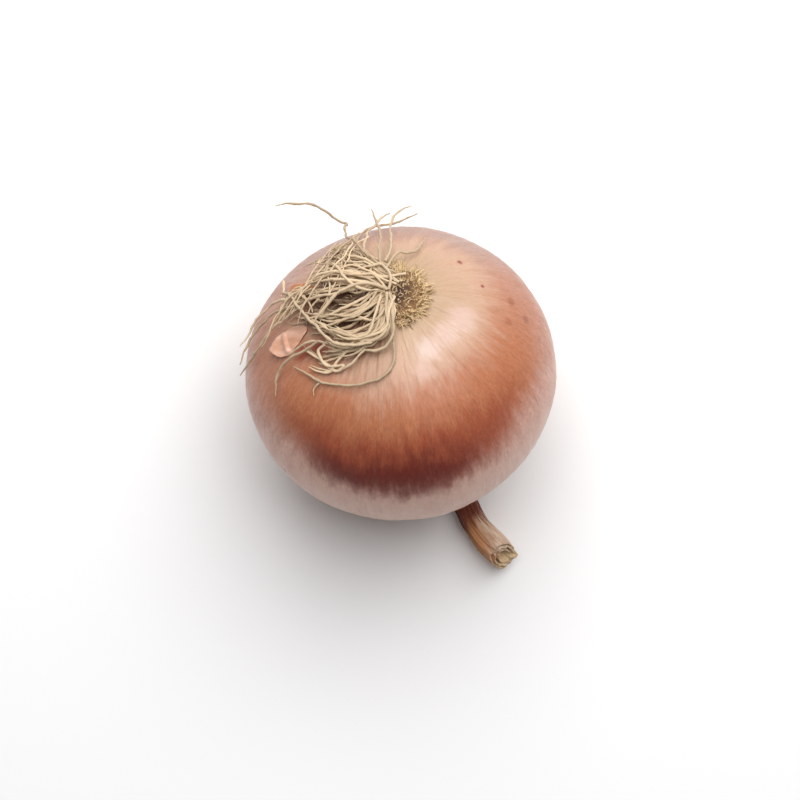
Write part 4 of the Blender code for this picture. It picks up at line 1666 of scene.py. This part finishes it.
@dataclass
class Neck:
    """The withered neck: leaf bases wrapped in one another, folded lengthwise and torn off."""

    form: BulbForm
    sides: int = 120
    steps: int = 110
    slant: float = 1.9
    flare: float = 0.4
    flare_length: float = 0.045  # the share of the neck over which the flare fades
    sink: float = 1.8  # how far its base goes into the bulb
    turn_out: float = 0.16  # the share of the neck over which it turns away from the bulb's axis
    torn: float = 0.16  # the share of a wrap that its tear reaches back
    clear: float = 0.05  # the least height over the floor
    lip: tuple[tuple[float, float], ...] = ((0.0, 0.93), (0.02, 0.82), (0.06, 0.8))  # shares back, and sizes
    creases: tuple[tuple[float, float], ...] = ((1.6, 0.2), (3.9, 0.13), (8.5, 0.06))  # rates and depths

    def build(self, finish: NeckFinish) -> list[bpy.types.Object]:
        """Builds and dresses the outer wrap and the inner leaf bases.

        Args:
            finish: the neck's finish.

        Returns:
            The finished pieces.
        """
        material = finish.build()
        pieces = []
        for look in WRAPS:
            obj = self.wrap(look)
            obj.data.materials.append(material)
            pieces.append(claim(obj, "dry_neck", "neck"))
        return pieces

    def wrap(self, look: Wrap) -> bpy.types.Object:
        """Shapes one wrap as a closed mesh: out along its outside, over the torn lip and back inside.

        Args:
            look: the wrap.

        Returns:
            The object, with "wrap" and "along" attributes.
        """
        line = smooth_line([stop[:3] for stop in NECK_ROUTE], 0.25)
        rows = [(look.end * k / self.steps, 1.0) for k in range(self.steps + 1)]
        rows += [(look.end - back, wall) for back, wall in self.lip]
        points, wraps, alongs = [], [], []
        for share, wall in rows:
            middle, ahead = self.course(line, share)
            points += self.ring(look, middle, ahead, share, wall)
            for i in range(self.sides):
                angle = 2 * math.pi * i / self.sides
                wraps.append((math.cos(angle), math.sin(angle), share * 0.9))
                alongs.append(share if wall == 1.0 else CUT)
        last = (len(rows) - 1) * self.sides
        inner = sum(points[last:], Vector()) / self.sides
        points += [line[0] + self.form.axis * self.sink, inner]
        wraps += [(0, 0, 0), (0, 0, look.end)]
        alongs += [0, CUT]
        faces = ring_faces(len(rows), self.sides, turned=True)
        faces += cap_faces(len(points) - 2, 0, self.sides, turned=True)
        faces += cap_faces(len(points) - 1, last, self.sides)
        obj = new_object(look.name, points, [], faces)
        set_attribute(obj, "wrap", np.array(wraps))
        set_attribute(obj, "along", np.array(alongs))
        return obj

    def course(self, line: list[Vector], share: float) -> tuple[Vector, Vector]:
        """Finds the neck's middle and its way ahead.

        Args:
            line: the points of the neck's route.
            share: the share of its length.

        Returns:
            The middle and the unit vector ahead.
        """
        at = share * (len(line) - 1)
        k = min(int(at), len(line) - 2)
        middle = line[k].lerp(line[k + 1], at - k)
        middle += self.form.axis * self.sink * (1 - ease(share, 0.0, 0.1))
        ahead = (line[min(k + 2, len(line) - 1)] - line[max(k - 1, 0)]).normalized()
        return middle, (-self.form.axis).lerp(ahead, float(ease(share, 0.0, self.turn_out))).normalized()

    def ring(self, look: Wrap, middle: Vector, ahead: Vector, share: float, wall: float) -> list[Vector]:
        """Lays one ring of points round the neck, folded, and pulled out or in near the torn lip.

        Args:
            look: the wrap.
            middle: the ring's middle.
            ahead: the way ahead along the neck.
            share: the share of the neck's length.
            wall: the ring's size as a share of the wrap's outside.

        Returns:
            The points.
        """
        side = ahead.cross(Vector((0, 0, 1))).normalized()
        upward = side.cross(ahead)
        flare = 1 + self.flare * math.exp(-share / self.flare_length)
        wide, thick = (width * flare for width in self.half_size(share))
        size, points = look.size, []
        for i in range(self.sides):
            angle = 2 * math.pi * i / self.sides
            x, y = math.cos(angle), math.sin(angle)
            spot = Vector((x * 1.4, y * 1.4, share * 1.3 + size * 7))
            fold = sum(noise.noise(spot * rate) * depth for rate, depth in self.creases)
            radius = (1 + fold * look.folds * ease(share, 0.02, 0.2)) * size * wall
            lip = noise.noise(Vector((x * 2.2, y * 2.2, size * 5))) * look.ragged
            tear = (lip - y * self.slant * size) * ease(share, look.end - self.torn, look.end)
            point = middle + (side * x * wide + upward * y * thick) * radius + ahead * tear
            point.z = max(point.z, self.clear)
            points.append(point)
        return points

    @staticmethod
    def half_size(share: float) -> tuple[float, float]:
        """Finds half the neck's width and thickness.

        Args:
            share: the share of its length.

        Returns:
            Half the width and half the thickness.
        """
        at = share * (len(NECK_ROUTE) - 1)
        k = min(int(at), len(NECK_ROUTE) - 2)
        first, second = NECK_ROUTE[k], NECK_ROUTE[k + 1]
        part = at - k
        return (first[3] + (second[3] - first[3]) * part, first[4] + (second[4] - first[4]) * part)


# ---------------------------------------------------------------- studio


@dataclass
class Studio:
    """A pale floor, one broad soft light from above and behind, a dim room, and the camera."""

    form: BulbForm
    elevation: float = 88.8
    lens: float = 100.0
    sensor: float = 36.0
    distance: float = 538.9
    aim_below: float = 7.15
    light_heading: float = 76.0
    light_tilt: float = 30.0
    light_distance: float = 900.0
    light_size: float = 1010.0
    light_power: float = 14.0
    room: float = 0.17

    def build(self) -> None:
        """Sets up the floor, the lights and the camera."""
        floor = new_object("floor", [(-3000, -3000, 0), (3000, -3000, 0), (3000, 3000, 0), (-3000, 3000, 0)],
                           [], [(0, 1, 2, 3)])
        floor.data.materials.append(PlainFinish("matt_white_floor", "f4f4f4", 0.9).build())
        self.light()
        self.air()
        self.camera()

    def light(self) -> None:
        """The soft light."""
        data = bpy.data.lights.new("softbox", "AREA")
        data.shape = "SQUARE"
        data.size = self.light_size * MM
        data.energy = self.light_power
        data.color = (1.0, 1.0, 1.0)
        tilt, heading = math.radians(self.light_tilt), math.radians(self.light_heading)
        flat = math.sin(tilt)
        away = Vector((flat * math.cos(heading), flat * math.sin(heading), math.cos(tilt)))
        obj = bpy.data.objects.new("softbox", data)
        obj.location = (self.form.centre + away * self.light_distance) * MM
        obj.rotation_mode = "QUATERNION"
        obj.rotation_quaternion = away.to_track_quat("Z", "Y")
        bpy.context.scene.collection.objects.link(obj)

    def air(self) -> None:
        """The dim, even light of the room."""
        world = bpy.data.worlds.new("room")
        world.use_nodes = True
        shine = world.node_tree.nodes["Background"]
        shine.inputs["Color"].default_value = (1, 1, 1, 1)
        shine.inputs["Strength"].default_value = self.room
        bpy.context.scene.world = world
        bpy.context.scene.view_settings.view_transform = "Standard"

    def camera(self) -> None:
        """The camera, almost straight above, aimed a little in front of the bulb's middle."""
        data = bpy.data.cameras.new("camera")
        data.lens, data.sensor_width = self.lens, self.sensor
        data.clip_start, data.clip_end = 0.01, 20
        angle = math.radians(self.elevation)
        back = Vector((0, -math.cos(angle), math.sin(angle)))
        up = Vector((0, math.sin(angle), math.cos(angle)))
        obj = bpy.data.objects.new("camera", data)
        obj.location = (self.form.centre + back * self.distance - up * self.aim_below) * MM
        obj.rotation_mode = "QUATERNION"
        obj.rotation_quaternion = back.to_track_quat("Z", "Y")
        bpy.context.scene.collection.objects.link(obj)
        bpy.context.scene.camera = obj


def main() -> None:
    """Builds the onion piece by piece, then the studio."""
    form = BulbForm()
    Studio(form).build()
    Bulb(form).build(ScaleFinish())
    RootPlate(form).build(CorkFinish(), FibreFinish("dry_stub_straw", "ecd0a0", "8c6a40"))
    Roots(RootThatch(form), FibreFinish()).build()
    for tear in TEARS:
        TornScale(form, tear).build()
    Neck(form).build(NeckFinish())


if __name__ == "__main__":
    main()
